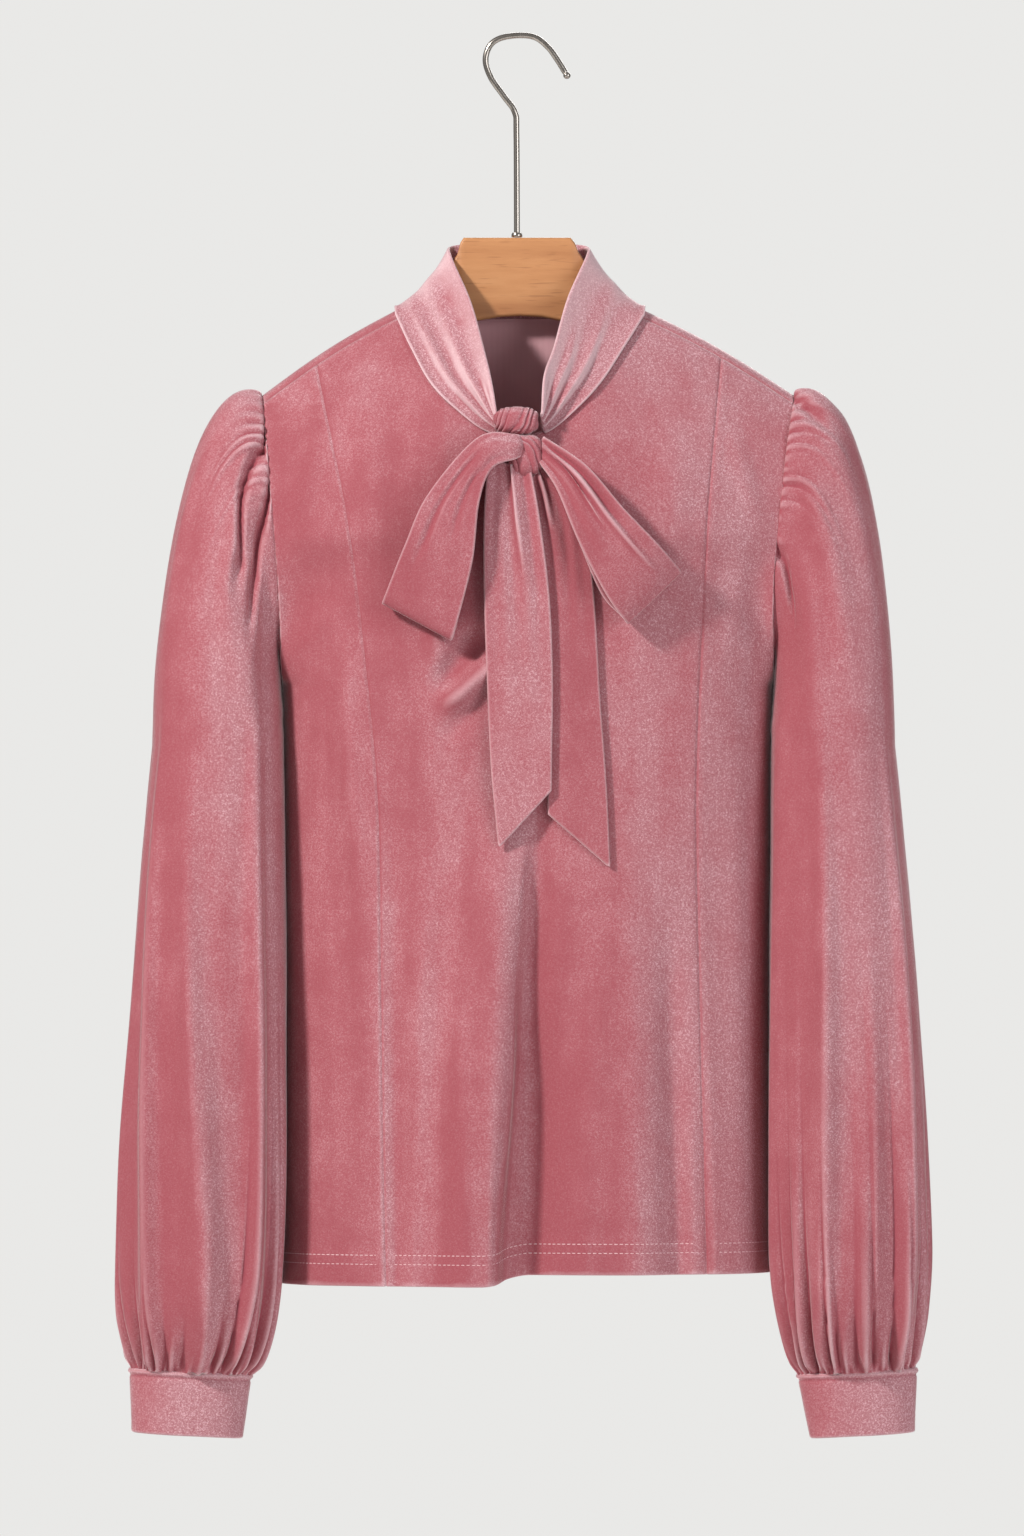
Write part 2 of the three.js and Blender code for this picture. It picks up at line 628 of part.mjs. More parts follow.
// The front is cut in three, with a princess seam on each side.
function addFront() {
  const seam = (column, offset) => (z) => acrossAt(between(PRINCESS, "z", column, z) + offset, z);
  const sideEdge = (z) => 1 - EDGE_SHARE * (z <= UNDERARM_Z ? 1 : 0);
  const left = shoulderColumns(TIP_LEFT_X, seamTop("left"), -HALF_SEAM);
  const right = shoulderColumns(TIP_RIGHT_X, seamTop("right"), HALF_SEAM);
  const centreTops = [
    ...left.nearNeck.slice(0, -1).map(onShoulder),
    ...neckColumns.map((x) => (Math.abs(x) === NECK_HALF ? onShoulder(x) : onNeckline(x))),
    ...right.nearNeck.slice(0, -1).reverse().map(onShoulder),
  ];
  const leftTops = left.nearTip.map(onShoulder);
  const rightTops = right.nearTip.reverse().map(onShoulder);
  frontPanel("front_centre", seam("left", HALF_SEAM), seam("right", -HALF_SEAM), centreTops);
  frontPanel("front_side_left", (z) => -sideEdge(z), seam("left", -HALF_SEAM), leftTops);
  frontPanel("front_side_right", seam("right", HALF_SEAM), sideEdge, rightTops);
}

const backNeckZ = (x) => between(BACK_NECK, "x", "z", Math.abs(x));

// The angles of the roll over the arm, from behind to the shoulder seam in front.
const seamAngle = Math.acos(1 - (SEAM_DROP - HALF_SEAM) / ROLL);
const rollAngles = evenly(-Math.PI / 2, seamAngle, ROLL_STEPS).slice(1);

// The back is one piece, from the hem up over the hanger's arms to the shoulder seams.
function addBack() {
  const neckRow = BACK_LOWER_ROWS + UPPER_ROWS.length;
  const rows = neckRow + 1 + rollAngles.length;
  const outer = Array.from({ length: rows }, () => []);
  const inner = Array.from({ length: rows }, () => []);
  const left = shoulderColumns(TIP_LEFT_X, seamTop("left"), 0);
  const right = shoulderColumns(TIP_RIGHT_X, seamTop("right"), 0);
  const tops = [
    ...left.nearTip.slice(0, -1),
    ...left.nearNeck,
    ...evenly(-NECK_HALF, NECK_HALF, BACK_NECK_STEPS).slice(1, -1),
    ...right.nearNeck.reverse(),
    ...right.nearTip.slice(0, -1).reverse(),
  ];
  tops.forEach((x, j) => {
    const inNeck = Math.abs(x) < NECK_HALF;
    const top = inNeck ? backNeckZ(x) : crest(x) - ROLL;
    const atEdge = j === 0 ? -1 : j === tops.length - 1 ? 1 : 0;
    const across = atEdge || acrossAt(x, top);
    const bottom = hemZ(torso(1, across, HEM_LEFT_Z).x);
    climb(BACK_LOWER_ROWS, bottom, top).forEach((z, i) => {
      [outer[i][j], inner[i][j]] = clothAt(1, across, z);
    });
    rollAngles.forEach((angle, k) => {
      const i = neckRow + 1 + k;
      const z = crest(x) - ROLL * (1 - Math.cos(angle));
      [outer[i][j], inner[i][j]] = inNeck
        ? [outer[neckRow][j], inner[neckRow][j]]
        : clothAt(angle < 0 ? 1 : -1, atEdge || acrossAt(x, z), z);
    });
  });
  const middleOf = (j) => Math.abs(tops[j] + tops[j + 1]) / 2;
  add("back", wall(outer, inner, false, (i, j) => i < neckRow || middleOf(j) > NECK_HALF), ROSE);
}

// A function that gives the armhole's point at a share of the way round it. The share runs from
// the shoulder tip down the front, and up the back again.
function armhole(outward) {
  const heights = evenly(0, Math.PI, ARMHOLE_SAMPLES).map(
    (a) => TIP_Z + ((UNDERARM_Z - TIP_Z) * (1 - Math.cos(a))) / 2,
  );
  const halves = [-1, 1].map((side) => {
    const points = heights.map((z) => torso(side, outward, z));
    const lengths = [0];
    points.slice(1).forEach((p, i) => lengths.push(lengths[i] + p.distanceTo(points[i])));
    return { points, lengths };
  });
  return (share) => {
    const half = halves[share < 0.5 ? 0 : 1];
    const way = (share < 0.5 ? share : 1 - share) * 2 * half.lengths[ARMHOLE_SAMPLES];
    let i = 0;
    while (i < ARMHOLE_SAMPLES - 1 && half.lengths[i + 1] < way) i += 1;
    const t = (way - half.lengths[i]) / (half.lengths[i + 1] - half.lengths[i]);
    const point = half.points[i].clone().lerp(half.points[i + 1], Math.min(t, 1));
    return point.setX(point.x + outward * SEAM);
  };
}

// A point of an oval section, angle 0 at the outer edge and a quarter turn at the front.
function sectionPoint(table, angle, z) {
  const outer = between(table, "z", "outer", z);
  const inner = between(table, "z", "inner", z);
  const depth = between(table, "z", "depth", z);
  const x = (outer + inner) / 2 + ((outer - inner) / 2) * signedPower(Math.cos(angle), SQUARENESS);
  const y = between(table, "z", "middle", z) - depth * signedPower(Math.sin(angle), SQUARENESS);
  const tilt = (CUFF_TILT / 2) * (Math.cos(angle) - 1) * ramp(z, TILT_FROM_Z, CUFF_TOP_Z);
  return new THREE.Vector3(x, y, z + tilt);
}

// The smooth form of a sleeve. way runs from 0 at the armhole, past 1 below the underarm, to 2.
function sleeveForm(table, outward) {
  const seam = armhole(outward);
  return (angle, way) => {
    const turn = (angle / (2 * Math.PI) + 1) % 1;
    if (way >= 1) {
      const z = table[0].z + (CUFF_TOP_Z + SEAM - table[0].z) * (way - 1);
      return sectionPoint(table, angle, z);
    }
    const from = seam(turn);
    const to = sectionPoint(table, angle, table[0].z);
    const reach = from.distanceTo(to);
    const high = (1 + Math.cos(angle)) / 2;
    const out = CAP_PUSH * reach * outward;
    const up = CAP_LIFT * reach * high;
    const down = -reach * (CAP_FALL + CAP_FALL_HIGH * high);
    return new THREE.Vector3(
      cubic(from.x, to.x, out, 0, way),
      cubic(from.y, to.y, 0, 0, way),
      cubic(from.z, to.z, up, down, way),
    );
  };
}

// How strongly a fold shows at an angle, from its middle angle and width in degrees.
function foldShape(angle, middle, width) {
  const apart = Math.abs(THREE.MathUtils.radToDeg(angle) - middle) % 360;
  return bell(Math.min(apart, 360 - apart), width);
}

// How far a sleeve's long folds stand out.
function sleeveFold(angle, way) {
  const full = ramp(way, LONG_FOLDS_FROM, LONG_FOLDS_FULL);
  const taken = 1 - LONG_FOLDS_TAKEN * ramp(way, CUFF_GATHERS_FROM, 2);
  let sum = 0;
  for (const fold of SLEEVE_FOLDS) {
    sum += fold.depth * full * taken * foldShape(angle, fold.angle, fold.width);
  }
  for (const fold of CAP_FOLDS) {
    const length = ramp(way, 0, fold.crest) * (1 - ramp(way, fold.crest, fold.end));
    sum += fold.depth * length * foldShape(angle, fold.angle + fold.turn * way, fold.width);
  }
  return sum;
}

// How deep the gathers are: they start at the cap's seam and at the cuff.
function gatherDepth(angle, way) {
  const begun = ramp(way, 0, CAP_GATHERS_FULL);
  const ended = ramp(way, CAP_GATHERS_FULL, CAP_GATHERS_END);
  const cap = begun * (1 - ended) * foldShape(angle, 0, CAP_GATHER_SPREAD);
  return GATHER_DEPTH * Math.max(cap, ramp(way, CUFF_GATHERS_FROM, 2));
}

// A puffed sleeve, gathered into the armhole and into its cuff.
function addSleeve(name, table, outward) {
  const form = sleeveForm(table, outward);
  const columns = 2 * CUFF_GATHERS;
  const ways = [...SLEEVE_CAP_WAYS, ...SLEEVE_ARM_WAYS];
  const outer = [];
  const inner = [];
  for (const way of ways) {
    outer.push([]);
    inner.push([]);
    for (let j = 0; j < columns; j += 1) {
      const angle = (2 * Math.PI * j) / columns;
      const before = Math.max(way - SLOPE_STEP, 0);
      const after = Math.min(way + SLOPE_STEP, 2);
      const round = form(angle + SLOPE_STEP, way).sub(form(angle - SLOPE_STEP, way));
      const down = form(angle, after).sub(form(angle, before));
      const normal = round.cross(down);
      if (way === 2) normal.setZ(0);
      normal.normalize().multiplyScalar(outward);
      const zigzag = (j % 2 ? 1 : -1) * gatherDepth(angle, way);
      const lift = sleeveFold(angle, way) + zigzag;
      const point = form(angle, way).addScaledVector(normal, lift);
      outer[outer.length - 1].push(point);
      inner[inner.length - 1].push(point.clone().addScaledVector(normal, -CLOTH));
    }
  }
  add(name, wall(outer, inner, true), ROSE);
}

// A plain cuff, a band all round the wrist.
function addCuff(name, table) {
  const outer = [];
  const inner = [];
  for (const z of evenly(CUFF_TOP_Z, CUFF_BOTTOM_Z, 2)) {
    const ring = allRound(CUFF_COLUMNS).map((angle) => sectionPoint(table, angle, z));
    outer.push(ring);
    inner.push(
      ring.map((point, j) => {
        const next = ring[(j + 1) % CUFF_COLUMNS];
        const last = ring[(j + CUFF_COLUMNS - 1) % CUFF_COLUMNS];
        const out = new THREE.Vector3(next.y - last.y, last.x - next.x, 0).normalize();
        const facing = Math.sign(out.dot(point.clone().sub(centreOf(ring))));
        return point.clone().addScaledVector(out, -facing * CUFF_CLOTH);
      }),
    );
  }
  add(name, wall(outer, inner, true), ROSE);
}

// The neck seam on one side, from the knot over the shoulder to the centre of the back.
function neckSeam(hand) {
  const front = NECK_HALF_COLUMNS.filter((x) => x >= COLLAR_END_X);
  const pointOf = (side, x, z) => {
    const across = acrossAt(x, z);
    return { at: torso(side, across, z), facing: torsoNormal(side, across, z) };
  };
  const points = front.map((x) => {
    const { z } = x === NECK_HALF ? onShoulder(x) : onNeckline(hand * x);
    return pointOf(-1, hand * x, z);
  });
  for (const angle of [...rollAngles.slice(0, -1).reverse(), -Math.PI / 2]) {
    const z = crest(NECK_HALF) - ROLL * (1 - Math.cos(angle));
    points.push(pointOf(angle < 0 ? 1 : -1, hand * NECK_HALF, z));
  }
  for (const x of evenly(NECK_HALF, 0, BACK_NECK_STEPS / 2).slice(1)) {
    points.push(pointOf(1, hand * x, backNeckZ(x)));
  }
  return points;
}

// The collar's columns on one side: each a curve from the neck seam to the folded top edge.
function collarSide(hand, table) {
  const seam = neckSeam(hand);
  const lengths = [0];
  seam.slice(1).forEach((p, i) => lengths.push(lengths[i] + p.at.distanceTo(seam[i].at)));
  const whole = lengths[lengths.length - 1];
  return seam.map(({ at, facing }, k) => {
    const share = lengths[k] / whole;
    const before = seam[Math.max(k - 1, 0)].at;
    const after = k === seam.length - 1 ? at.clone().setX(-before.x) : seam[k + 1].at;
    const way = after.clone().sub(before).normalize();
    const inward = way.clone().cross(facing).normalize().multiplyScalar(-hand);
    const foot = at.clone().addScaledVector(inward, COLLAR_GAP);
    const edge = new THREE.Vector3(
      between(table, "share", "x", share),
      between(table, "share", "y", share),
      between(table, "share", "z", share),
    );
    const out = way.clone().cross(edge.clone().sub(foot)).normalize().multiplyScalar(-hand);
    const middle = foot.clone().lerp(edge, 0.5).addScaledVector(out, COLLAR_BULGE);
    return { foot, middle, edge, out, share };
  });
}

// The stand collar, a folded band sewn round the neck whose ends go into the knot.
function addCollar() {
  const left = collarSide(-1, COLLAR_LEFT);
  const right = collarSide(1, COLLAR_RIGHT);
  const columns = [...left, ...right.slice(0, -1).reverse()];
  const outer = [];
  const inner = [];
  for (const rise of evenly(0, 1, COLLAR_ROWS)) {
    outer.push([]);
    inner.push([]);
    for (const { foot, middle, edge, out, share } of columns) {
      const low = foot.clone().lerp(middle, rise);
      const high = middle.clone().lerp(edge, rise);
      const strength = 1 - FURROWS_LOST * ramp(share, FURROWS_FULL_TO, FURROWS_FADED_AT);
      let furrow = 0;
      for (const f of COLLAR_FURROWS) furrow += f.depth * strength * bell(rise - f.rise, f.width);
      const point = low.lerp(high, rise).addScaledVector(out, -furrow);
      outer[outer.length - 1].push(point);
      inner[inner.length - 1].push(point.clone().addScaledVector(out, -COLLAR_CLOTH));
    }
  }
  add("collar", wall(outer, inner), ROSE);
}

// A ribbon of the bow. Its middle line and its half width come from a table, row by row.
function addRibbon(name, table, steps) {
  const middle = (across, place) => {
    const x = along(table, "x", place) + across * along(table, "halfX", place);
    const z = along(table, "z", place) + across * along(table, "halfZ", place);
    const pleat = along(table, "pleat", place) * Math.cos(RIBBON_PLEATS * Math.PI * across);
    return new THREE.Vector3(x, frontY(x, z) - along(table, "lift", place) + pleat, z);
  };
  const last = table.length - 1;
  const outer = [];
  const inner = [];
  for (const place of evenly(0, last, steps)) {
    outer.push([]);
    inner.push([]);
    for (const across of evenly(-1, 1, RIBBON_COLUMNS)) {
      const low = Math.max(across - SLOPE_STEP, -1);
      const high = Math.min(across + SLOPE_STEP, 1);
      const sideways = middle(high, place).sub(middle(low, place));
      const before = middle(across, Math.max(place - SLOPE_STEP, 0));
      const onward = middle(across, Math.min(place + SLOPE_STEP, last)).sub(before);
      const normal = sideways.cross(onward).normalize();
      const point = middle(across, place);
      outer[outer.length - 1].push(point.clone().addScaledVector(normal, TIE_CLOTH / 2));
      inner[inner.length - 1].push(point.clone().addScaledVector(normal, -TIE_CLOTH / 2));
    }
  }
  add(name, wall(outer, inner), ROSE);
}

// A pleated wrap of the knot, seated just in front of the cloth behind it.
function addKnot(knot) {
  const seat = frontY(knot.x, knot.z) - KNOT_STAND - knot.halfY;
  const rings = [];
  for (const tilt of evenly(-KNOT_END_ANGLE, KNOT_END_ANGLE, KNOT_RINGS)) {
    const ring = [];
    for (const turn of allRound(KNOT_COLUMNS)) {
      const x = Math.cos(turn) * Math.cos(tilt);
      const y = Math.sin(turn) * Math.cos(tilt);
      const z = Math.sin(tilt);
      const slant = x * knot.slantX + z * knot.slantZ;
      const groove = 1 - (KNOT_GROOVE / 2) * (1 + Math.cos(2 * Math.PI * knot.pleats * slant));
      ring.push(
        new THREE.Vector3(
          knot.x + knot.halfX * groove * signedPower(x, KNOT_SQUARENESS),
          seat + knot.halfY * groove * signedPower(y, KNOT_SQUARENESS),
          knot.z + knot.halfZ * groove * signedPower(z, KNOT_SQUARENESS),
        ),
      );
    }
    rings.push(ring);
  }
  add(knot.name, solidAlong(rings), ROSE);
}

// The wooden body: a bevelled bar along x whose top and bottom come from its table.
function addWood() {
  const rings = WOOD_SECTIONS.map((section) => {
    const { x, thick } = section;
    const top = section.top ?? crest(x) - ARM_DROP - section.inset;
    const bevel = Math.min(WOOD_BEVEL, thick / 2);
    const profile = [
      [thick - bevel, top],
      [thick, top - bevel],
      [thick, section.bottom + bevel],
      [thick - bevel, section.bottom],
      [bevel - thick, section.bottom],
      [-thick, section.bottom + bevel],
      [-thick, top - bevel],
      [bevel - thick, top],
    ];
    return profile.map(([y, z]) => new THREE.Vector3(x, y, z));
  });
  add("hanger_wood", solidAlong(rings), WOOD);
}

// The hook: round wire bent along its table, with a small ball at its tip.
function addHook() {
  const last = HOOK.length - 1;
  const at = (place) => new THREE.Vector3(along(HOOK, "x", place), 0, along(HOOK, "z", place));
  const rings = [];
  const ringAt = (centre, heading, radius) => {
    const side = new THREE.Vector3(heading.z, 0, -heading.x);
    return allRound(WIRE_SIDES).map((turn) => {
      const point = centre.clone().addScaledVector(side, radius * Math.cos(turn));
      return point.setY(radius * Math.sin(turn));
    });
  };
  for (const place of evenly(0, last, HOOK_STEPS)) {
    const before = at(Math.max(place - SLOPE_STEP, 0));
    const heading = at(Math.min(place + SLOPE_STEP, last)).sub(before).normalize();
    rings.push(ringAt(at(place), heading, WIRE_RADIUS));
  }
  const tip = at(last);
  const heading = tip.clone().sub(at(last - SLOPE_STEP)).normalize();
  for (const angle of evenly(BALL_FROM_ANGLE, BALL_TO_ANGLE, BALL_STEPS)) {
    const centre = tip.clone().addScaledVector(heading, BALL_RADIUS * (1 + Math.sin(angle)));
    rings.push(ringAt(centre, heading, BALL_RADIUS * Math.cos(angle)));
  }
  add("hanger_hook", solidAlong(rings), STEEL);
}

// The ferrule: a steel ring round the foot of the hook.
function addFerrule() {
  const ring = (radius, z) =>
    allRound(WIRE_SIDES * 2).map(
      (turn) =>
        new THREE.Vector3(HOOK[0].x + radius * Math.cos(turn), radius * Math.sin(turn), z),
    );
  const levels = [WOOD_TOP_Z + SEAM, WOOD_TOP_Z + SEAM + FERRULE_HEIGHT];
  const outer = levels.map((z) => ring(FERRULE_RADIUS, z));
  const inner = levels.map((z) => ring(WIRE_RADIUS + SEAM, z));
  add("hanger_ferrule", wall(outer, inner, true), STEEL);
}

addFront();
addBack();
addSleeve("sleeve_left", SLEEVE_LEFT, -1);
addSleeve("sleeve_right", SLEEVE_RIGHT, 1);
addCuff("cuff_left", CUFF_LEFT);
addCuff("cuff_right", CUFF_RIGHT);
addCollar();
KNOTS.forEach(addKnot);
addRibbon("bow_loop_left", LOOP_LEFT, LOOP_STEPS);
addRibbon("bow_loop_right", LOOP_RIGHT, LOOP_STEPS);
addRibbon("tie_tail_left", TAIL_LEFT, TAIL_STEPS);
addRibbon("tie_tail_right", TAIL_RIGHT, TAIL_STEPS);
addWood();
addHook();
addFerrule();

export default blouse;
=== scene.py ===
"""A dusty rose velvet blouse with a tie neck, hung on a wooden hanger.

The cloth's forms are worked out in millimetres, in the part's frame: X to the viewer's right,
the front faces -Y, Z up, and the origin inside the top of the hanger's hook.
"""

import math

import bpy
import numpy as np
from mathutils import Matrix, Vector


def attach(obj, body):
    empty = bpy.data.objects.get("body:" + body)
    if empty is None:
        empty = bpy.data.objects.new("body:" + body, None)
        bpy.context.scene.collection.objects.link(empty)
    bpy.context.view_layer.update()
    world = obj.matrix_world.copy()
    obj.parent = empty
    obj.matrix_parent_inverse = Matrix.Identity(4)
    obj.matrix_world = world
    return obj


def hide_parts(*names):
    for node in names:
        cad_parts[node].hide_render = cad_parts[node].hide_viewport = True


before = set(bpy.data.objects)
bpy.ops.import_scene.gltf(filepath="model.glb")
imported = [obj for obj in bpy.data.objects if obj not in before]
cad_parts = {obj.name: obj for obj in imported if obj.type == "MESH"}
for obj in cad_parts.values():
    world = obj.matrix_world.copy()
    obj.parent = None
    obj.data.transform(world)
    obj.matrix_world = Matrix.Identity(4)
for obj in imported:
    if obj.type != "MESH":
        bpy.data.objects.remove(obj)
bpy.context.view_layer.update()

MM = 0.001
ROOT = "root"

# Cloth.
CLOTH = 1.5
TIE_CLOTH = 2.2
CUFF_CLOTH = 2.6
COLLAR_CLOTH = 2.6
HALF_SEAM = 0.16
SEAM_GROOVE = 0.6
SEAM_GROOVE_WIDTH = 0.75
SLOPE_STEP = 0.01
EDGE_SHARE = 0.0005
EDGE_STEPS, EDGE_BULGE = 3, 0.8

# Heights and half widths of the blouse.
NECK_POINT_Z, NECK_RISE_END_Z, TIP_Z, UNDERARM_Z = -168.6, -150.0, -222.0, -402.0
HEM_LEFT_Z, HEM_RIGHT_Z = -773.0, -766.0
CUFF_TOP_Z, CUFF_BOTTOM_Z = -826.0, -864.0
CUFF_TILT, TILT_FROM_Z = 3.8, -780.0
NECK_HALF, TIP_LEFT_X, TIP_RIGHT_X = 76.0, -160.0, 170.0
ROLL, SHOULDER_ROUND, SEAM_DROP = 8.0, 3.0, 5.0
FRONT_FALL, BACK_FALL = 170.0, 120.0
SIDE_ROUNDNESS, ARMHOLE_FLATNESS = 2.6, 4.0
ARMHOLE_FRONT, ARMHOLE_BACK, ARMHOLE_ROUND, ARMHOLE_REACH = 44.0, 15.0, 95.0, 22.0
SEAM_ANGLE = math.acos(1 - (SEAM_DROP - HALF_SEAM) / ROLL)
MEETING_POWER = 4.0
HEM_STEP_FROM, HEM_STEP_TO = -24.0, 6.0


def numbers(text):
    """The rows of a table of numbers."""
    return np.array([row.split() for row in text.strip().splitlines()], float)


def columns(names, text):
    """A table as one array for each named column."""
    return dict(zip(names.split(), numbers(text).T))


# The torso's outline from the front and its depth, row by row.
TORSO = columns("z left right front back", """
-773 -150.5 158 80 22
-640 -149 157.5 77 21
-500 -148 157.5 74 20
-402 -148 157.5 72 19
-325 -151 158 70 19
-222 -160 170 68 19
-150 -165 175 66 19
""")

# The princess seams that divide the front.
PRINCESS = columns("z left right", """
-773 -82.5 115.5
-680 -84.5 113
-570 -86 110.5
-473 -88 109
-387 -96 111.6
-300 -107 116
-200 -127 125
-180 -129 126
""")

# The front neckline, and the back one from its centre to the shoulder point.
NECKLINE = columns("x z", """
-76 -173.6
-68 -191.6
-54.6 -216
-37 -233
-20.5 -244
0 -248.5
16 -244.5
31 -234
49.6 -215
65 -191.6
76 -173.6
""")
BACK_NECK = columns("x z", """
0 -174
30 -174.2
60 -175.4
76 -176.6
""")

# Folds of the front: a ridge over x, from full depth at the hem to none at its top.
# hem x, top x, from z, depth, left width, right width
FRONT_FOLDS = numbers("""
-21 -16 -480 17 46 10
-86 -92 -330 6 30 7
72 62 -400 9 34 20
122 116 -520 5 6 20
-122 -104 -300 5 14 18
""")

# Finer folds that the cloth shows: x and z at both ends, width and depth.
# x0, z0, x1, z1, width, depth
FINE_FRONT_FOLDS = numbers("""
-58 -470 -66 -780 9 1.6
8 -430 4 -780 12 -3.2
-38 -560 -34 -780 8 1.2
18 -600 10 -780 9 -1.4
44 -560 40 -780 10 1
93 -520 97 -780 8 -1.8
104 -640 108 -780 6 1.2
-112 -330 -98 -560 8 1.6
-118 -420 -104 -700 9 -1
-134 -480 -128 -780 8 1
134 -420 138 -780 9 1.2
-98 -210 -90 -330 12 1
100 -230 88 -360 14 0.9
58 -300 84 -420 13 0.8
-46 -300 -52 -400 10 -0.8
140 -300 128 -400 9 0.9
""")

# Sleeves below the underarm, and the cuffs.
# The outlines of both hands end in -1 for the left and 1 for the right.
SLEEVE = columns("z outer-1 inner-1 outer1 inner1 middle depth", """
-440 -228 -146.5 232.5 155.5 -23 38
-520 -235.5 -145.5 240.5 155.5 -30 39
-600 -241 -145.5 247 155.5 -35 41
-680 -246.5 -146 251.5 156 -38 43
-750 -249 -148.5 253 158 -38 44
-790 -247.5 -153.5 249.5 163.5 -38 41
-812 -243.5 -159.5 246 168 -38 33
-826 -241 -167 244.5 173 -38 23
""")
CUFF = columns("z outer-1 inner-1 outer1 inner1 middle depth", """
-826 -242 -166 246 171.5 -38 23
-867 -240.5 -172 244.5 180 -38 20
""")
CUFF_GATHERS, CAP_GATHERS, LONG_FOLDS_TAKEN = 25, 58, 0.6
SQUARENESS = 0.86
CAP_PUSH, CAP_LIFT, CAP_FALL, CAP_FALL_HIGH = 0.57, 0.26, 0.9, 0.1

# The collar's folded top edge, by share of its seam from the knot to the centre back.
COLLAR_LEFT = columns("share x y z", """
0 -14.3 -68 -236
0.14 -17.5 -58 -217
0.3 -22.5 -43 -196
0.46 -31 -24 -165
0.57 -42.5 -6 -137
0.66 -42 10 -130
0.8 -26 13 -128.5
1 0 13 -128
""")
COLLAR_RIGHT = columns("share x y z", """
0 13.3 -68 -234
0.14 15 -58 -212
0.3 21 -43 -195
0.46 30 -24 -163
0.57 41 -6 -137
0.66 41 10 -130
0.8 26 13 -128.5
1 0 13 -128
""")
COLLAR_END_X, COLLAR_GAP, COLLAR_BULGE = 14.6, 0.5, 7.0
COLLAR_ROWS, COLLAR_COLUMN_COUNT = 40, 110

# Ribbons of the bow: the middle line, how far it lifts off the front, and half its width.
RIBBON = "x z lift halfX halfZ pleat"
LOOP_LEFT = columns(RIBBON, """
1.5 -255.2 12.5 -0.2 3.4 0
-3 -255.6 18.2 -0.5 6.8 0
-22 -260 21 -4 9 0.2
-41 -288 21 -15 2.5 0.3
-50 -321 20 -20 5 0
-61 -356 16 -20.8 10.5 0
-63.5 -363 10.5 -20.8 11.2 0
-61 -356 5 -20.8 10.5 0
-50 -321 5 -19 5 0
-41 -288 6.5 -13 2.5 0.6
-25 -262 8 -4 8 1
-7.8 -257.5 6.5 -0.4 5.5 1
""")
LOOP_RIGHT = columns(RIBBON, """
13.4 -257.5 12.5 1 7.5 0.5
32 -275 19 8.7 6.8 0.7
50 -304 22 13.6 9.3 0.4
68 -330 21 15.2 15 0
79 -344 17 16.1 15.5 0
82.5 -348.5 11.5 16.1 15.5 0
79 -344 6 16.1 15.5 0
66 -331 6 15.2 15 0
49 -305 8.5 12 9.3 0.6
32 -276 10.5 7.5 6.8 1
14.9 -259 8.5 1 5.5 1
""")
TAIL_LEFT = columns(RIBBON, """
-6.3 -267 10.6 12.5 -3.8 0.5
-5 -300 9 16.5 0 0.6
-1.9 -350 8 19.4 0 0.3
0 -402 7.4 19.4 2.5 0.1
1 -446 7.4 18 9 0
3 -484.5 7.4 15.6 17 0
""")
TAIL_RIGHT = columns(RIBBON, """
11.2 -270.4 6.5 3.4 4.2 0.3
20 -288 3.6 11.5 1.5 0.4
26.5 -312 3.6 14 0 0.4
29.5 -350 3.2 15.5 0 0.2
32 -406 3 16.4 -2 0
35 -455 3 17.4 -8 0
36.4 -498 3 18.4 -16 0
""")

# Hanger.
WOOD_TOP_Z, ARM_DROP = -124.0, 3.0
WIRE_RADIUS, BALL_RADIUS = 1.85, 2.3
HOOK = columns("x z", """
-1.9 -123.7
-2.2 -60
-3.2 -46
-10 -36
-18 -24.5
-21.4 -14
-19 -5
-12.5 0
-1 1.9
9.5 0.6
17.5 -5.5
23.4 -13.5
28 -21
""")


# ---- Curves and small helpers ----


def cubic(a, b, start_slope, end_slope, t):
    """A cubic over one span, t from 0 to 1, with its slopes at both ends."""
    t2, t3 = t * t, t * t * t
    ends = (2 * t3 - 3 * t2 + 1) * a + (3 * t2 - 2 * t3) * b
    return ends + (t3 - 2 * t2 + t) * start_slope + (t3 - t2) * end_slope


def between(table, key, column, value):
    """A smooth value of one column of a table, at a value of another."""
    keys, values = table[key], table[column]
    value = np.asarray(value, float)
    last = len(keys) - 1
    order = -1 if keys[0] > keys[last] else 1
    i = np.searchsorted(order * keys[1:last], order * value, side="left")
    i = np.minimum(i, last - 1)
    before, after = np.maximum(i - 1, 0), np.minimum(i + 2, last)
    span = keys[i + 1] - keys[i]
    start = (values[i + 1] - values[before]) / (keys[i + 1] - keys[before]) * span
    end = (values[after] - values[i]) / (keys[after] - keys[i]) * span
    t = np.clip((value - keys[i]) / span, 0, 1)
    return cubic(values[i], values[i + 1], start, end, t)


def along(table, column, place):
    """The same by the place in the table, a whole number at each row."""
    values = table[column]
    place = np.asarray(place, float)
    last = len(values) - 1
    i = np.clip(np.floor(place).astype(int), 0, last - 1)
    at = lambda k: values[np.clip(k, 0, last)]
    return cubic(at(i), at(i + 1), (at(i + 1) - at(i - 1)) / 2, (at(i + 2) - at(i)) / 2, place - i)


def ramp(value, start, end):
    t = np.clip((value - start) / (end - start), 0, 1)
    return t * t * (3 - 2 * t)


def bell(distance, width):
    return np.exp(-((distance / width) ** 2))


def signed_power(value, power):
    return np.sign(value) * np.abs(value) ** power


def lengths_along(points):
    """How far each point lies from the first along the line through them."""
    return np.concatenate([[0], np.cumsum(np.linalg.norm(np.diff(points, axis=0), axis=1))])


def picked(at, keys, points):
    """The points of a line at some values of its keys."""
    return np.stack([np.interp(at, keys, points[:, k]) for k in range(3)], -1)


def stack(x, y, z):
    return np.stack(np.broadcast_arrays(x, y, z), -1).astype(float)


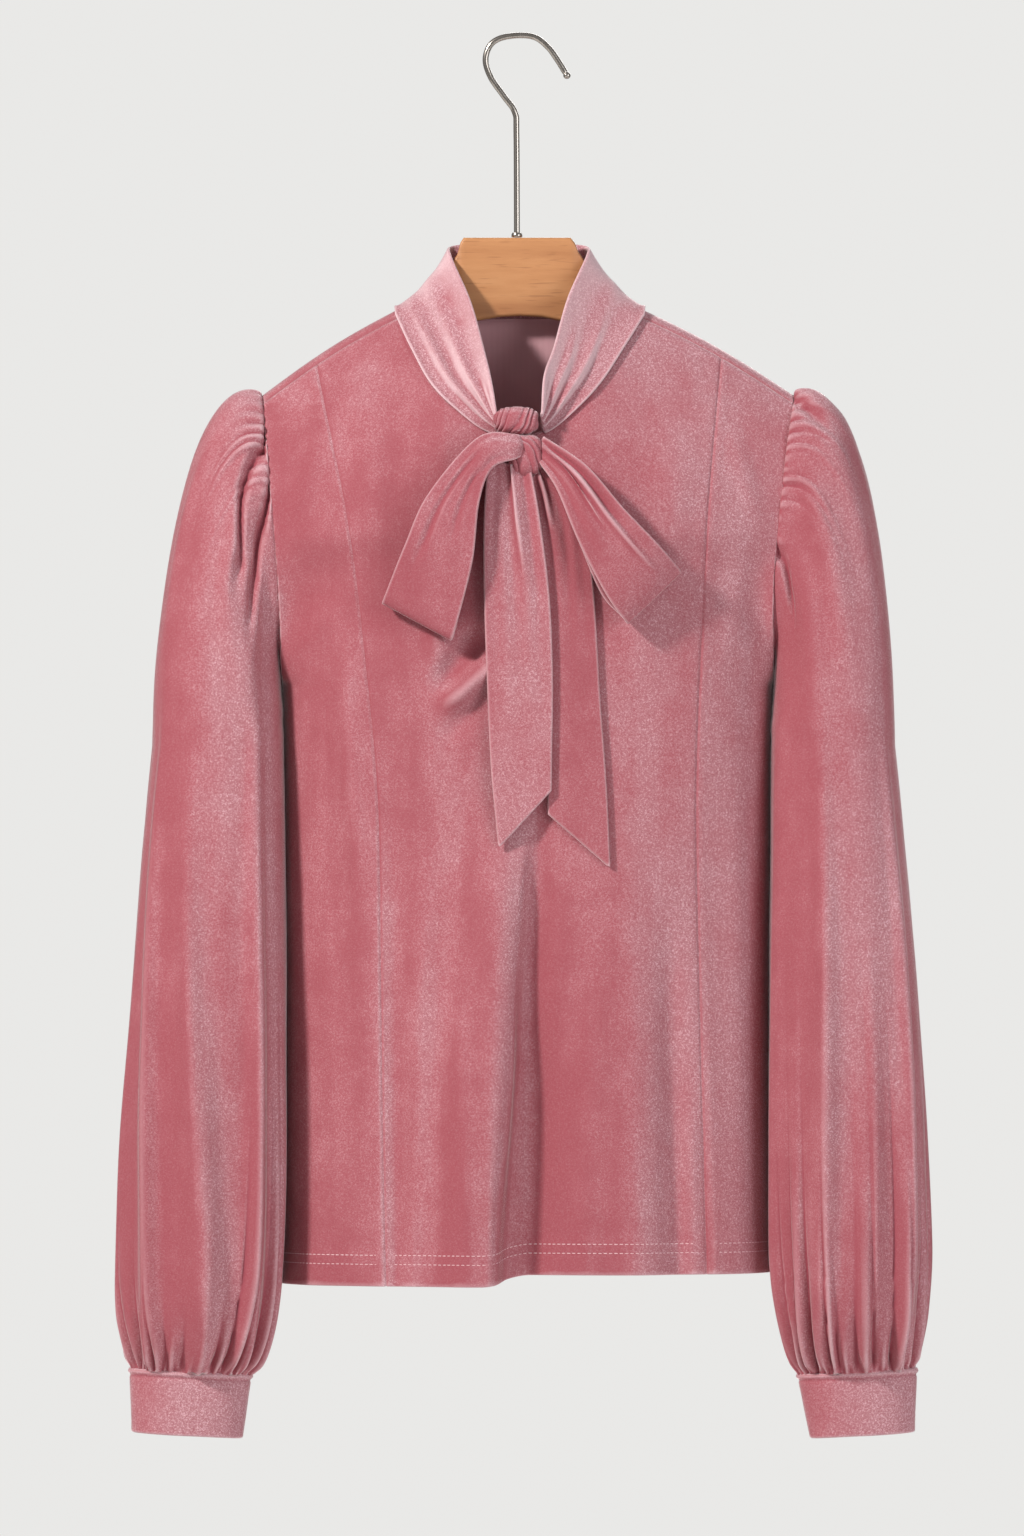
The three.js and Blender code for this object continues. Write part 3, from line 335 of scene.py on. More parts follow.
def unit(v):
    return v / np.maximum(np.linalg.norm(v, axis=-1, keepdims=True), 1e-9)


def slope(form, value, low=-np.inf, high=np.inf):
    """How a form runs on with a value: from just before it to just after, inside its limits."""
    return form(np.minimum(value + SLOPE_STEP, high)) - form(np.maximum(value - SLOPE_STEP, low))


def waver(seed, count, low, high):
    """A smooth random function of one array, from -1 to 1, with waves from low to high per mm."""
    rng = np.random.default_rng(seed)
    rates = np.exp(rng.uniform(np.log(low), np.log(high), count))
    turns = rng.uniform(0, 2 * np.pi, count)
    return lambda v: sum(np.sin(2 * np.pi * r * v + t) for r, t in zip(rates, turns)) / count


# ---- The torso's form ----


def crest(x):
    """The crest of the shoulder fold above x."""
    tip = np.where(x < 0, abs(TIP_LEFT_X), abs(TIP_RIGHT_X))
    share = (np.abs(x) - NECK_HALF) / (tip - NECK_HALF)
    rounded = SHOULDER_ROUND * np.sin(np.pi * np.clip(share, 0, 1))
    return np.minimum(NECK_RISE_END_Z, NECK_POINT_Z + (TIP_Z - NECK_POINT_Z) * share + rounded)


def stand_off(drop, full, fall):
    """How far the cloth stands from the hanger's plane, at a drop below the crest."""
    below = np.maximum(drop, 0)
    roll = ROLL * np.sqrt(1 - (1 - np.minimum(below / ROLL, 1)) ** 2)
    return roll + (full - ROLL) * (1 - (1 - np.minimum(below / fall, 1)) ** 2)


def front_fold(x, z):
    """How far the front's main folds stand out at a point."""
    total = 0
    for hem, top, start, depth, left_width, right_width in FRONT_FOLDS:
        share = np.clip((start - z) / (start - HEM_LEFT_Z), 0, 1)
        middle = top + (hem - top) * share
        width = np.where(x < middle, left_width, right_width)
        total = total + depth * ramp(share, 0, 1) * bell(x - middle, width)
    return total


def armhole_depth(side, z, off):
    """The half depth of the armhole, where the cloth beside it stands off by so much."""
    rise = np.clip((z - UNDERARM_Z) / ARMHOLE_ROUND, 0, 1)
    rounded = (ARMHOLE_FRONT if side < 0 else ARMHOLE_BACK) * np.sqrt(1 - (1 - rise) ** 2)
    a, b = np.maximum(rounded, 1e-6), np.maximum(off, 1e-6)
    met = (a**-MEETING_POWER + b**-MEETING_POWER) ** (-1 / MEETING_POWER)
    return np.where((z > UNDERARM_Z) & (off > 0), met, 0)


def torso(side, across, z):
    """A point of the torso. side is -1 for the front and 1 for the back, across runs from -1 to 1."""
    across, z = np.asarray(across, float), np.asarray(z, float)
    left, right = between(TORSO, "z", "left", z), between(TORSO, "z", "right", z)
    g = np.sin(np.pi / 2 * across)
    x = (left + right) / 2 + (right - left) / 2 * g
    beside = ramp(z, UNDERARM_Z, UNDERARM_Z + ARMHOLE_ROUND)
    power = SIDE_ROUNDNESS + (ARMHOLE_FLATNESS - SIDE_ROUNDNESS) * beside
    root = SIDE_ROUNDNESS + (1 - SIDE_ROUNDNESS) * beside
    swell = np.maximum(1 - np.abs(g) ** power, 0) ** (1 / root)
    full = between(TORSO, "z", "front" if side < 0 else "back", z)
    if side < 0:
        full = full + front_fold(x, z)
    off = stand_off(crest(x) - z, full, FRONT_FALL if side < 0 else BACK_FALL)
    edge = armhole_depth(side, z, off) * np.abs(g) ** (ARMHOLE_REACH * (1 - beside))
    return stack(x, side * (edge * (1 - swell) + off * swell), z)


def across_at(x, z):
    """The share across that lies at x."""
    left, right = between(TORSO, "z", "left", z), between(TORSO, "z", "right", z)
    return np.arcsin(np.clip((2 * x - left - right) / (right - left), -1, 1)) / (np.pi / 2)


def front_y(x, z):
    return torso(-1, across_at(x, z), z)[..., 1]


def torso_normal(side, across, z):
    """The way the torso's outside faces at a point."""
    across, z = np.broadcast_arrays(np.asarray(across, float), np.asarray(z, float))
    sideways = slope(lambda v: torso(side, v, z), across, -1, 1)
    top = np.minimum(z + HALF_SEAM, crest(torso(side, across, z)[..., 0]) - SLOPE_STEP)
    up = torso(side, across, top) - torso(side, across, top - 2 * HALF_SEAM)
    normal = unit(np.cross(sideways, up)) * -side
    at_side = (np.abs(across) > 1 - 2 * EDGE_SHARE) & (z <= UNDERARM_Z)
    flat = stack(np.sign(across), 0, 0)
    return np.where(at_side[..., None], flat, normal)


def torso_cloth(side, across, z):
    """A point of the torso and the way it faces."""
    return torso(side, across, z), torso_normal(side, across, z)


def rolled(x, angle):
    """The side, across and height of the cloth that has turned so far over the shoulder's crest."""
    height = crest(x) - ROLL * (1 - math.cos(angle))
    return (1 if angle < 0 else -1), across_at(x, height), height


# ---- Closed shells of cloth ----


def grid_cells(rows, columns_across, spans):
    """The four corners of each cell of a grid of points: rows of cells, each with so many spans."""
    i, j = np.meshgrid(np.arange(rows), np.arange(spans), indexing="ij")
    a, b = i * columns_across + j, i * columns_across + (j + 1) % columns_across
    return np.stack([a, b, b + columns_across, a + columns_across], -1).reshape(-1, 4)


def faces_inwards(verts, quads):
    """Whether the faces of a closed shape look inwards."""
    p = verts[quads] - verts.mean(0)
    return (p[:, 0] * (np.cross(p[:, 1], p[:, 2]) + np.cross(p[:, 2], p[:, 3]))).sum() < 0


def shell(name, outer, facing, thick, materials, wrap=False, keep=None):
    """A closed sheet of cloth over a grid of points: its outside, its inside and rounded edges.
    keep says which cells are there, and the last material is the inside's."""
    rows, cols = outer.shape[:2]
    cells = grid_cells(rows - 1, cols, cols if wrap else cols - 1)
    if keep is not None:
        cells = cells[keep.reshape(-1)]
    out_points, normals = outer.reshape(-1, 3), unit(facing).reshape(-1, 3)
    in_points = out_points - normals * thick
    edges = np.concatenate([cells[:, [k, (k + 1) % 4]] for k in range(4)])
    size = rows * cols
    forward = edges[:, 0] * size + edges[:, 1]
    free = edges[~np.isin(forward, edges[:, 1] * size + edges[:, 0])]
    following, leading = np.zeros(size, int), np.zeros(size, int)
    following[free[:, 0]] = free[:, 1]
    leading[free[:, 1]] = free[:, 0]
    rim = np.unique(free[:, 0])
    tangent = unit(out_points[following[rim]] - out_points[leading[rim]])
    # The surface lies on one side of its free edges: the way out is away from the cells' middles.
    outward = unit(np.cross(tangent, normals[rim]))
    middles, counts = np.zeros((size, 3)), np.zeros((size, 1))
    centres = out_points[cells].mean(1)
    for k in range(4):
        np.add.at(middles, cells[:, k], centres)
        np.add.at(counts, cells[:, k], 1)
    towards = out_points[rim] - middles[rim] / np.maximum(counts[rim], 1)
    if (outward * towards).sum() < 0:
        outward = -outward
    place = np.zeros(size, int)
    place[rim] = np.arange(len(rim))
    layers, points = [free], [out_points, in_points]
    for k in range(EDGE_STEPS):
        turn = np.pi * (k + 1) / (EDGE_STEPS + 1)
        off = normals[rim] * (np.cos(turn) - 1) + outward * np.sin(turn) * EDGE_BULGE
        points.append(out_points[rim] + thick / 2 * off)
        layers.append(2 * size + k * len(rim) + place[free])
    layers.append(free + size)
    faces = [cells, cells[:, ::-1] + size]
    for above, below in zip(layers, layers[1:]):
        faces.append(np.stack([above[:, 1], above[:, 0], below[:, 0], below[:, 1]], -1))
    quads = np.concatenate(faces)
    used, index = np.unique(quads, return_inverse=True)
    quads = index.reshape(quads.shape)
    verts = np.concatenate(points)[used] * MM
    inside = np.zeros(len(quads), int)
    inside[len(cells) : 2 * len(cells)] = len(materials) - 1
    if faces_inwards(verts, quads):
        quads = quads[:, ::-1]
    return mesh_object(name, verts, quads, materials, inside)


def mesh_object(name, verts, faces, materials, indices=None):
    mesh = bpy.data.meshes.new(name)
    mesh.from_pydata(verts.tolist(), [], [list(map(int, f)) for f in faces])
    mesh.polygons.foreach_set("use_smooth", np.ones(len(mesh.polygons), bool))
    if indices is not None:
        mesh.polygons.foreach_set("material_index", np.asarray(indices, np.int32))
    obj = bpy.data.objects.new(name, mesh)
    bpy.context.scene.collection.objects.link(obj)
    for material in materials:
        mesh.materials.append(material)
    mesh.update()
    return obj


def full_turn(count):
    """Angles all the way round, without the last that would meet the first."""
    return np.linspace(0, 2 * np.pi, count, endpoint=False)


def tube(name, centres, headings, radii, sides, material):
    """A closed round bar along points, in the X-Z plane."""
    turns = full_turn(sides)[None, :, None]
    across = stack(headings[:, 2], 0, -headings[:, 0])[:, None]
    circle = across * np.cos(turns) + np.array([0, 1, 0]) * np.sin(turns)
    return lofted(name, centres[:, None] + radii[:, None, None] * circle, material)


def lofted(name, rings, material):
    """A closed solid along rings of points, with a fan over each end."""
    count, sides = rings.shape[:2]
    verts = np.concatenate([rings.reshape(-1, 3), rings[0].mean(0)[None], rings[-1].mean(0)[None]])
    quads = grid_cells(count - 1, sides, sides)
    first, second = count * sides, count * sides + 1
    low = [(b, a, first) for a, b in quads[:sides, :2]]
    high = [(a, b, second) for b, a in quads[-sides:, 2:]]
    faces = quads.tolist() + low + high
    if faces_inwards(verts, quads):
        faces = [f[::-1] for f in faces]
    return mesh_object(name, verts * MM, faces, [material])


# ---- Materials ----


class Nodes:
    """A material's nodes, made in the order in which they feed each other."""

    def __init__(self, name):
        self.material = bpy.data.materials.new(name)
        self.material.use_nodes = True
        self.tree = self.material.node_tree
        self.shader = self.tree.nodes["Principled BSDF"]
        self.place = self.node("TexCoord").outputs["Object"]

    def node(self, kind, **settings):
        made = self.tree.nodes.new("ShaderNode" + kind)
        for key, value in settings.items():
            setattr(made, key, value)
        return made

    def feed(self, socket, value):
        if isinstance(value, bpy.types.NodeSocket):
            self.tree.links.new(value, socket)
        else:
            socket.default_value = value

    def plug(self, node, **sockets):
        for key, value in sockets.items():
            self.feed(node.inputs[key.replace("_", " ")], value)

    def set(self, **sockets):
        self.plug(self.shader, **sockets)

    def noise(self, scale, detail=2.0, rough=0.5, stretch=(1, 1, 1), distort=0.0):
        made, mapped = self.node("TexNoise"), self.node("Mapping")
        self.plug(mapped, Vector=self.place, Scale=stretch)
        place = mapped.outputs["Vector"]
        self.plug(made, Vector=place, Scale=scale, Detail=detail, Roughness=rough, Distortion=distort)
        return made.outputs["Fac"]

    def wave(self, scale, distort):
        made = self.node("TexWave", bands_direction="X")
        self.plug(made, Vector=self.place, Scale=scale, Distortion=distort, Detail=2, Detail_Scale=1.5)
        return made.outputs["Fac"]

    def math(self, operation, a, b=0.0):
        made = self.node("Math", operation=operation)
        self.feed(made.inputs[0], a)
        self.feed(made.inputs[1], b)
        return made.outputs[0]

    def spread(self, value, low, high, to_low=0.0, to_high=1.0):
        made = self.node("MapRange")
        for socket, part in zip(made.inputs, (value, low, high, to_low, to_high)):
            self.feed(socket, part)
        return made.outputs[0]

    def mix(self, factor, a, b):
        made = self.node("Mix", data_type="RGBA")
        self.plug(made, Factor=factor, A=a, B=b)
        return made.outputs["Result"]

    def ramp(self, value, *stops):
        made = self.node("ValToRGB")
        self.plug(made, Fac=value)
        marks = made.color_ramp.elements
        while len(marks) < len(stops):
            marks.new(0.5)
        for mark, (position, colour) in zip(marks, stops):
            mark.position, mark.color = position, colour
        return made.outputs["Color"]

    def bump(self, height, distance, strength=1.0, under=None):
        made = self.node("Bump")
        self.plug(made, Strength=strength, Distance=distance, Height=height)
        if under is not None:
            self.plug(made, Normal=under)
        return made.outputs["Normal"]


def velvet(name, brushed, blotched=0.12, sides=0.0):
    """Short-pile velvet, speckled and paler where brushed, with painted sheen: paler as the surface turns
    right and up, pale on convex edges, dark in hollows.
    """
    n = Nodes(name)
    patches = n.spread(n.noise(8, 2, 0.45, (2.4, 2.4, 0.4), 0.3), 0.34, 0.66)
    streaks = n.spread(n.noise(60, 2, 0.5, (1.6, 1.6, 0.3)), 0.36, 0.64)
    blotches = n.spread(n.noise(42, 3, 0.6), 0.36, 0.64)
    speckle = n.noise(850, 4, 0.85)
    grain = n.noise(1500, 2, 0.6)
    geometry, turned = n.node("NewGeometry").outputs, n.node("SeparateXYZ")
    n.plug(turned, Vector=geometry["Normal"])
    right = turned.outputs["X"]
    # Painted sheen and shade by the way the surface faces: paler as it turns to the right, less again where
    # it faces fully right, and paler where it faces up.
    painted_sheen_rightward = n.math("SUBTRACT", n.spread(right, -0.5, 0.3), n.spread(right, 0.75, 1.0))
    painted_top_light = n.spread(turned.outputs["Z"], 0.4, 0.75)
    # How pale the nap is: brushed, random patches, streaks and blotches, and the painted sheen by facing.
    lie = brushed
    shares = ((painted_sheen_rightward, 0.38), (painted_top_light, 0.45), (patches, 0.3), (streaks, 0.08), (blotches, blotched))
    for part, share in shares:
        lie = n.math("ADD", n.math("MULTIPLY", part, share), lie)
    deep = (0.3, 0.06, 0.08, 1)
    body = n.ramp(
        lie, (0.2, (0.33, 0.085, 0.103, 1)), (0.45, (0.385, 0.12, 0.141, 1)), (0.8, (0.42, 0.19, 0.215, 1))
    )
    # Pale specks of the pile, more of them where the nap and the painted sheen are pale.
    amount = n.math("MULTIPLY", n.spread(speckle, 0.48, 0.62), n.spread(lie, 0.28, 0.82, 0.1, 0.74))
    light = n.mix(amount, body, (0.78, 0.52, 0.56, 1))
    dark = n.mix(n.spread(grain, 0.34, 0.52, 0.6, 0.0), light, deep)
    soft = n.bump(n.noise(150, 3, 0.6), 0.0006, 0.3)
    # Painted highlight and painted shade by the mesh's pointiness: pale over convex edges and folds, darker
    # in hollows.
    bend = geometry["Pointiness"]
    folded = n.mix(n.spread(bend, 0.492, 0.45, 0.0, 0.7), dark, deep)
    colour_with_painted_light = n.mix(n.spread(bend, 0.514, 0.58, 0.0, 0.6), folded, (0.76, 0.54, 0.575, 1))
    # Painted sheen: paler where the surface faces sideways, as much as sides says.
    if sides:
        beside = n.spread(n.math("ABSOLUTE", right), 0.3, 0.75, 0.0, sides)
        colour_with_painted_light = n.mix(beside, colour_with_painted_light, (0.8, 0.6, 0.63, 1))
    n.set(
        Base_Color=colour_with_painted_light,
        Roughness=0.9,
        Specular_IOR_Level=0.06,
        Sheen_Weight=1.0,
        Sheen_Roughness=0.28,
        Sheen_Tint=(1.0, 0.86, 0.88, 1),
        Normal=n.bump(speckle, 0.0004, 0.6, soft),
    )
    return n.material


def backing(name):
    """The knit inside of the velvet: fine upright ribs."""
    n = Nodes(name)
    ribs = n.wave(420, 1.2)
    soft = n.spread(n.noise(30, 2), 0.35, 0.65, 0.0, 0.5)
    colour = n.mix(soft, (0.68, 0.375, 0.415, 1), (0.78, 0.46, 0.5, 1))
    n.set(
        Base_Color=n.mix(n.math("MULTIPLY", ribs, 0.35), colour, (0.52, 0.26, 0.3, 1)),
        Roughness=0.8,
        Specular_IOR_Level=0.2,
        Sheen_Weight=0.15,
        Normal=n.bump(ribs, 0.0002, 0.4),
    )
    return n.material


def beech():
    """Light beech with a matt lacquer: long grain and short darker flecks."""
    n = Nodes("beech")
    grain = n.noise(90, 5, 0.62, (0.12, 1, 1), 0.3)
    broad = n.noise(14, 3, 0.5, (0.25, 1, 1))
    fleck = n.noise(620, 1, 0.4, (0.1, 1, 1))
    base = n.ramp(
        n.math("ADD", n.math("MULTIPLY", grain, 0.6), n.math("MULTIPLY", broad, 0.4)),
        (0.35, (0.4, 0.165, 0.065, 1)),
        (0.52, (0.5, 0.225, 0.09, 1)),
        (0.68, (0.58, 0.29, 0.13, 1)),
    )
    flecks = n.spread(fleck, 0.6, 0.72, 0.0, 0.5)
    n.set(
        Base_Color=n.mix(flecks, base, (0.3, 0.12, 0.045, 1)),
        Roughness=n.spread(grain, 0.3, 0.7, 0.42, 0.56),
        Coat_Weight=0.12,
        Coat_Roughness=0.35,
        Normal=n.bump(grain, 0.0002, 0.25),
    )
    return n.material


def brushed_steel():
    n = Nodes("brushed_steel")
    lines = n.noise(300, 2, 0.5, (1, 1, 0.05))
    n.set(
        Base_Color=n.ramp(lines, (0.35, (0.36, 0.325, 0.29, 1)), (0.65, (0.43, 0.39, 0.355, 1))),
        Metallic=1.0,
        Roughness=0.24,
    )
    return n.material


def thread():
    n = Nodes("pale_thread")
    twist = n.noise(1500, 2)
    n.set(
        Base_Color=n.ramp(twist, (0.3, (0.6, 0.36, 0.39, 1)), (0.7, (0.78, 0.56, 0.58, 1))),
        Roughness=0.6,
        Normal=n.bump(twist, 0.0001, 0.4),
    )
    return n.material


ROSE = velvet("velvet", 0.0)
BRUSHED = velvet("velvet_brushed", 0.34)
# The collar's velvet: paler where brushed, more blotched, with painted sheen where it faces sideways.
PALEST = velvet("velvet_collar", 0.22, 0.4, 0.6)
# A darker copy of the velvet, painted shade on the bow's right loop and right tail; the back and the knots
# take it too.
DARKER_VELVET = velvet("velvet_darker", -0.16)
KNIT = backing("velvet_backing")
BEECH = beech()
STEEL = brushed_steel()
THREAD = thread()


def placed(obj, slot, *nodes):
    """Makes a piece ride on the part and stand for its CAD nodes."""
    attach(obj, ROOT)
    if nodes:
        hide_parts(*nodes)
    return obj


def cloth_piece(node, *form, **settings):
    """A closed sheet of velvet that stands for its CAD node."""
    return placed(shell(node + "_cloth", *form, **settings), "velvet", node)


# ---- Front and back ----

STITCH_ROWS, STITCH_PITCH, STITCH_SHARE, STITCH_LIFT = (13.0, 18.6), 3.3, 0.74, 0.12
# Each stitch's size along it, and its half width and half thickness.
STITCH_PROFILE = [(0.0, 0.25), (0.12, 0.85), (0.5, 1.0), (0.88, 0.85), (1.0, 0.25)]
STITCH_SIDES, STITCH_HALF_WIDTH, STITCH_HALF_HEIGHT = 6, 0.34, 0.28
HEM_BAND = 20.6
# Rows below and above the underarm, and the step between columns.
FRONT_ROWS, FRONT_STEP, SIDE_STEP = (130, 100), 2.1, 1.3
BACK_ROWS, BACK_STEP = (114, 86), 2.3


def hem_z(x):
    """The hem's height: its left part hangs a little lower."""
    return HEM_LEFT_Z + (HEM_RIGHT_Z - HEM_LEFT_Z) * ramp(x, HEM_STEP_FROM, HEM_STEP_TO)


def streak(x, z, fold):
    """One fine fold along a line, fading at its top and, where it ends above the hem, at its foot."""
    x0, z0, x1, z1, width, depth = fold
    t = np.clip((z0 - z) / (z0 - z1), 0, 1)
    middle = x0 + (x1 - x0) * t
    strength = ramp(t, 0, 0.4)
    if z1 > HEM_RIGHT_Z:
        strength = strength * (1 - ramp(t, 0.55, 1))
    return depth * strength * bell(x - middle, width)


def pinch(x, z, x0, z0, x1, z1, width, depth):
    """A short slanting crease between two points."""
    length = math.hypot(x1 - x0, z1 - z0)
    ux, uz = (x1 - x0) / length, (z1 - z0) / length
    s = ((x - x0) * ux + (z - z0) * uz) / length
    d = (x - x0) * -uz + (z - z0) * ux
    return depth * ramp(s, -0.15, 0.3) * (1 - ramp(s, 0.7, 1.15)) * bell(d, width)


# x0, z0, x1, z1, width, depth
PINCHES = numbers("""
-50 -404 -24 -368 8 -5.5
-48 -418 -10 -384 7 8
-58 -338 -49 -390 7 3.5
-50 -436 -16 -410 7 -2
-150 -395 -112 -352 9 1.6
152 -392 120 -350 9 1.6
-140 -300 -122 -250 6 1.2
146 -300 132 -246 6 1.2
""")

hem_waver = waver(3, 7, 0.008, 0.05)
seam_waver = waver(8, 6, 0.03, 0.09)
cloth_waver = waver(5, 6, 0.004, 0.016)


def hem_relief(x, z):
    """The turned-up hem: a thicker band, drawn in along its two rows of stitches."""
    high = z - hem_z(x)
    band = 0.45 * (1 - ramp(high, HEM_BAND - 1.2, HEM_BAND + 1.2)) + 0.25 * bell(high, 2.0)
    rows = sum(-0.32 * bell(high - row, 0.9) for row in STITCH_ROWS)
    tuck = 0.35 * bell(high - 16, 9) * seam_waver(x * 1.6)
    return band + rows + tuck


def front_relief(x, z):
    """Everything finer than the main folds on the front."""
    total = 2.0 * sum(streak(x, z, fold) for fold in FINE_FRONT_FOLDS)
    total = total + sum(pinch(x, z, *crease) for crease in PINCHES)
    low = ramp(-z, 420, 760)
    total = total + 0.9 * low * hem_waver(x + 0.12 * z)
    ridge = 1.0 - 19.0 * np.clip((-z - 504) / 269, 0, 1)
    tall = ramp(-z, 468, 540) * (1 - 0.8 * ramp(-z, 620, 760))
    total = total + 9.5 * tall * bell(x - ridge, np.where(x < ridge, 34, 7.0))
    return total + 0.5 * cloth_waver(x + 0.3 * z) * ramp(-z, 200, 320)


# x0, z0, x1, z1, width, depth
BACK_FOLDS = numbers("""
-118 -300 -126 -780 15 4.5
-84 -250 -92 -780 17 3.6
-40 -330 -52 -780 19 5
-6 -420 -4 -780 14 3.2
34 -300 42 -780 18 4.6
72 -380 84 -780 14 3.4
108 -270 122 -780 17 4.2
-66 -520 -72 -780 9 -2
18 -560 16 -780 9 -1.8
98 -560 104 -780 8 -1.8
-20 -190 -30 -360 24 1.4
44 -196 36 -400 22 1.3
-132 -250 -112 -380 12 1.6
140 -250 118 -380 12 1.6
""")


def back_relief(x, z):
    total = sum(streak(x, z, fold) for fold in BACK_FOLDS)
    low = ramp(-z, 420, 760)
    return total + 0.9 * low * hem_waver(260 - x + 0.1 * z) + 0.5 * cloth_waver(400 + x - 0.25 * z)


def calm_beside(across):
    """How much of the relief is left near the side seams: none on them."""
    return ramp(1 - np.abs(across), 0, 0.07)


def seam_relief(distance, depth=SEAM_GROOVE):
    """How the cloth sinks into a seam and rises beside it."""
    return -depth * bell(distance, SEAM_GROOVE_WIDTH) + 0.25 * depth * bell(distance - 3.6, 2.4)


def heights(bottom, top, lower_rows, upper_rows):
    """Rows of heights for each column: even up to the underarm, then closer near the top."""
    low = np.linspace(0, 1, lower_rows + 1)[:, None]
    up = 1 - (1 - np.linspace(0, 1, upper_rows + 1)[1:, None]) ** 1.45
    return np.concatenate([bottom + (UNDERARM_Z - bottom) * low, UNDERARM_Z + (top - UNDERARM_Z) * up])


def on_shoulder(x):
    return crest(x) - SEAM_DROP - HALF_SEAM


def evenly_spaced(points, step):
    """Places along a line of points, about a step apart, as shares of its index."""
    lengths = lengths_along(points)
    count = max(int(round(lengths[-1] / step)), 1)
    return np.interp(np.linspace(0, lengths[-1], count + 1), lengths, np.arange(len(points)))


def neckline_columns(step):
    x = np.linspace(-NECK_HALF, NECK_HALF, 800)
    line = np.stack([x, between(NECKLINE, "x", "z", x)], -1)
    found = np.interp(evenly_spaced(line, step), np.arange(len(x)), x)
    found[0], found[-1] = -NECK_HALF, NECK_HALF
    return found


def seam_top(column):
    """Where a princess seam meets the shoulder."""
    x = float(between(PRINCESS, "z", column, TIP_Z))
    for _ in range(12):
        x = float(between(PRINCESS, "z", column, on_shoulder(x)))
    return x


def columns_between(start, end, step):
    return np.linspace(start, end, max(int(round(abs(end - start) / step)), 1) + 1)


def closer(x):
    """More columns beside both seams of a panel, for the cloth that dips into them."""
    near = np.array([0.35, 0.75, 1.2])
    return np.unique(np.concatenate([x, x[0] + near, x[-1] - near]))


def seam_edge(column, offset):
    """The across of a princess seam at a height, and how far a point lies from it."""
    place = lambda z: between(PRINCESS, "z", column, z) + offset
    return {"across": lambda z: across_at(place(z), z), "away": lambda x, z: np.abs(x - place(z))}


def side_edge(sign):
    """The same for a side seam, where the cloth's slope makes the distance longer."""
    across = lambda z: sign * (1 - EDGE_SHARE * (z <= UNDERARM_Z))
    outline = "left" if sign < 0 else "right"
    away = lambda x, z: np.abs(x - between(TORSO, "z", outline, z)) * 4 + 1.2
    return {"across": across, "away": away}


def add_panel(name, left, right, top_x, top_z):
    """A panel of the front, from its top points down to the hem between two edges."""
    left_top, right_top = left["across"](top_z), right["across"](top_z)
    share = (across_at(top_x, top_z) - left_top) / (right_top - left_top)
    share[0], share[-1] = 0, 1
    edge = lambda z: left["across"](z) + (right["across"](z) - left["across"](z)) * share
    bottom = hem_z(torso(-1, edge(np.full_like(top_z, HEM_LEFT_Z)), HEM_LEFT_Z)[:, 0])
    z = heights(bottom, top_z, *FRONT_ROWS)
    across = edge(z)
    points, facing = torso_cloth(-1, across, z)
    x = points[..., 0]
    calm = calm_beside(across) * ramp(top_z - z, 0, 26)
    lift = front_relief(x, z) * calm + hem_relief(x, z)
    pucker = 0.28 * seam_waver(z)
    for side in (left, right):
        away = side["away"](x, z)
        lift = lift + seam_relief(away) + pucker * bell(away - 3, 6)
    lift = lift + seam_relief(top_z - z, 0.7)
    return cloth_piece(name, points + facing * lift[..., None], facing, CLOTH, [ROSE, KNIT])


def stitch_row(side, high, start, end):
    """Where each stitch of a hem row begins and ends, on the cloth, with the cloth's facing."""
    x = np.linspace(start, end, 900)
    z = hem_z(x) + high
    across = across_at(x, z)
    points, facing = torso_cloth(side, across, z)
    relief = front_relief if side < 0 else back_relief
    lift = relief(x, z) * calm_beside(across) + hem_relief(x, z)
    points = points + facing * (lift + STITCH_LIFT)[:, None]
    place, index = evenly_spaced(points, STITCH_PITCH), np.arange(len(points))
    begin, finish = place[:-1], place[:-1] + (place[1:] - place[:-1]) * STITCH_SHARE
    return picked(begin, index, points), picked(finish, index, points), unit(picked(begin, index, facing))


def add_stitches(name, side, start, end):
    """The hem's two rows of stitches, each stitch a short rounded length of thread."""
    share, size = np.array(STITCH_PROFILE).T[:, :, None, None]
    turns = full_turn(STITCH_SIDES)[:, None]
    quads = grid_cells(len(share) - 1, STITCH_SIDES, STITCH_SIDES)[:, [0, 3, 2, 1]].tolist()
    total = len(share) * STITCH_SIDES
    shape = quads + [list(range(STITCH_SIDES)), list(range(total - 1, total - 1 - STITCH_SIDES, -1))]
    verts, faces = [], []
    for high in STITCH_ROWS:
        for a, b, facing in zip(*stitch_row(side, high, start, end)):
            sideways = np.cross(unit(b - a), facing) * STITCH_HALF_WIDTH
            off = sideways * np.cos(turns) + facing * STITCH_HALF_HEIGHT * np.sin(turns)
            base = len(verts) * total
            verts.append((a + (b - a) * share + off * size).reshape(-1, 3))
            faces += [[base + k for k in face] for face in shape]
    return placed(mesh_object(name, np.concatenate(verts) * MM, faces, [THREAD]), "velvet")


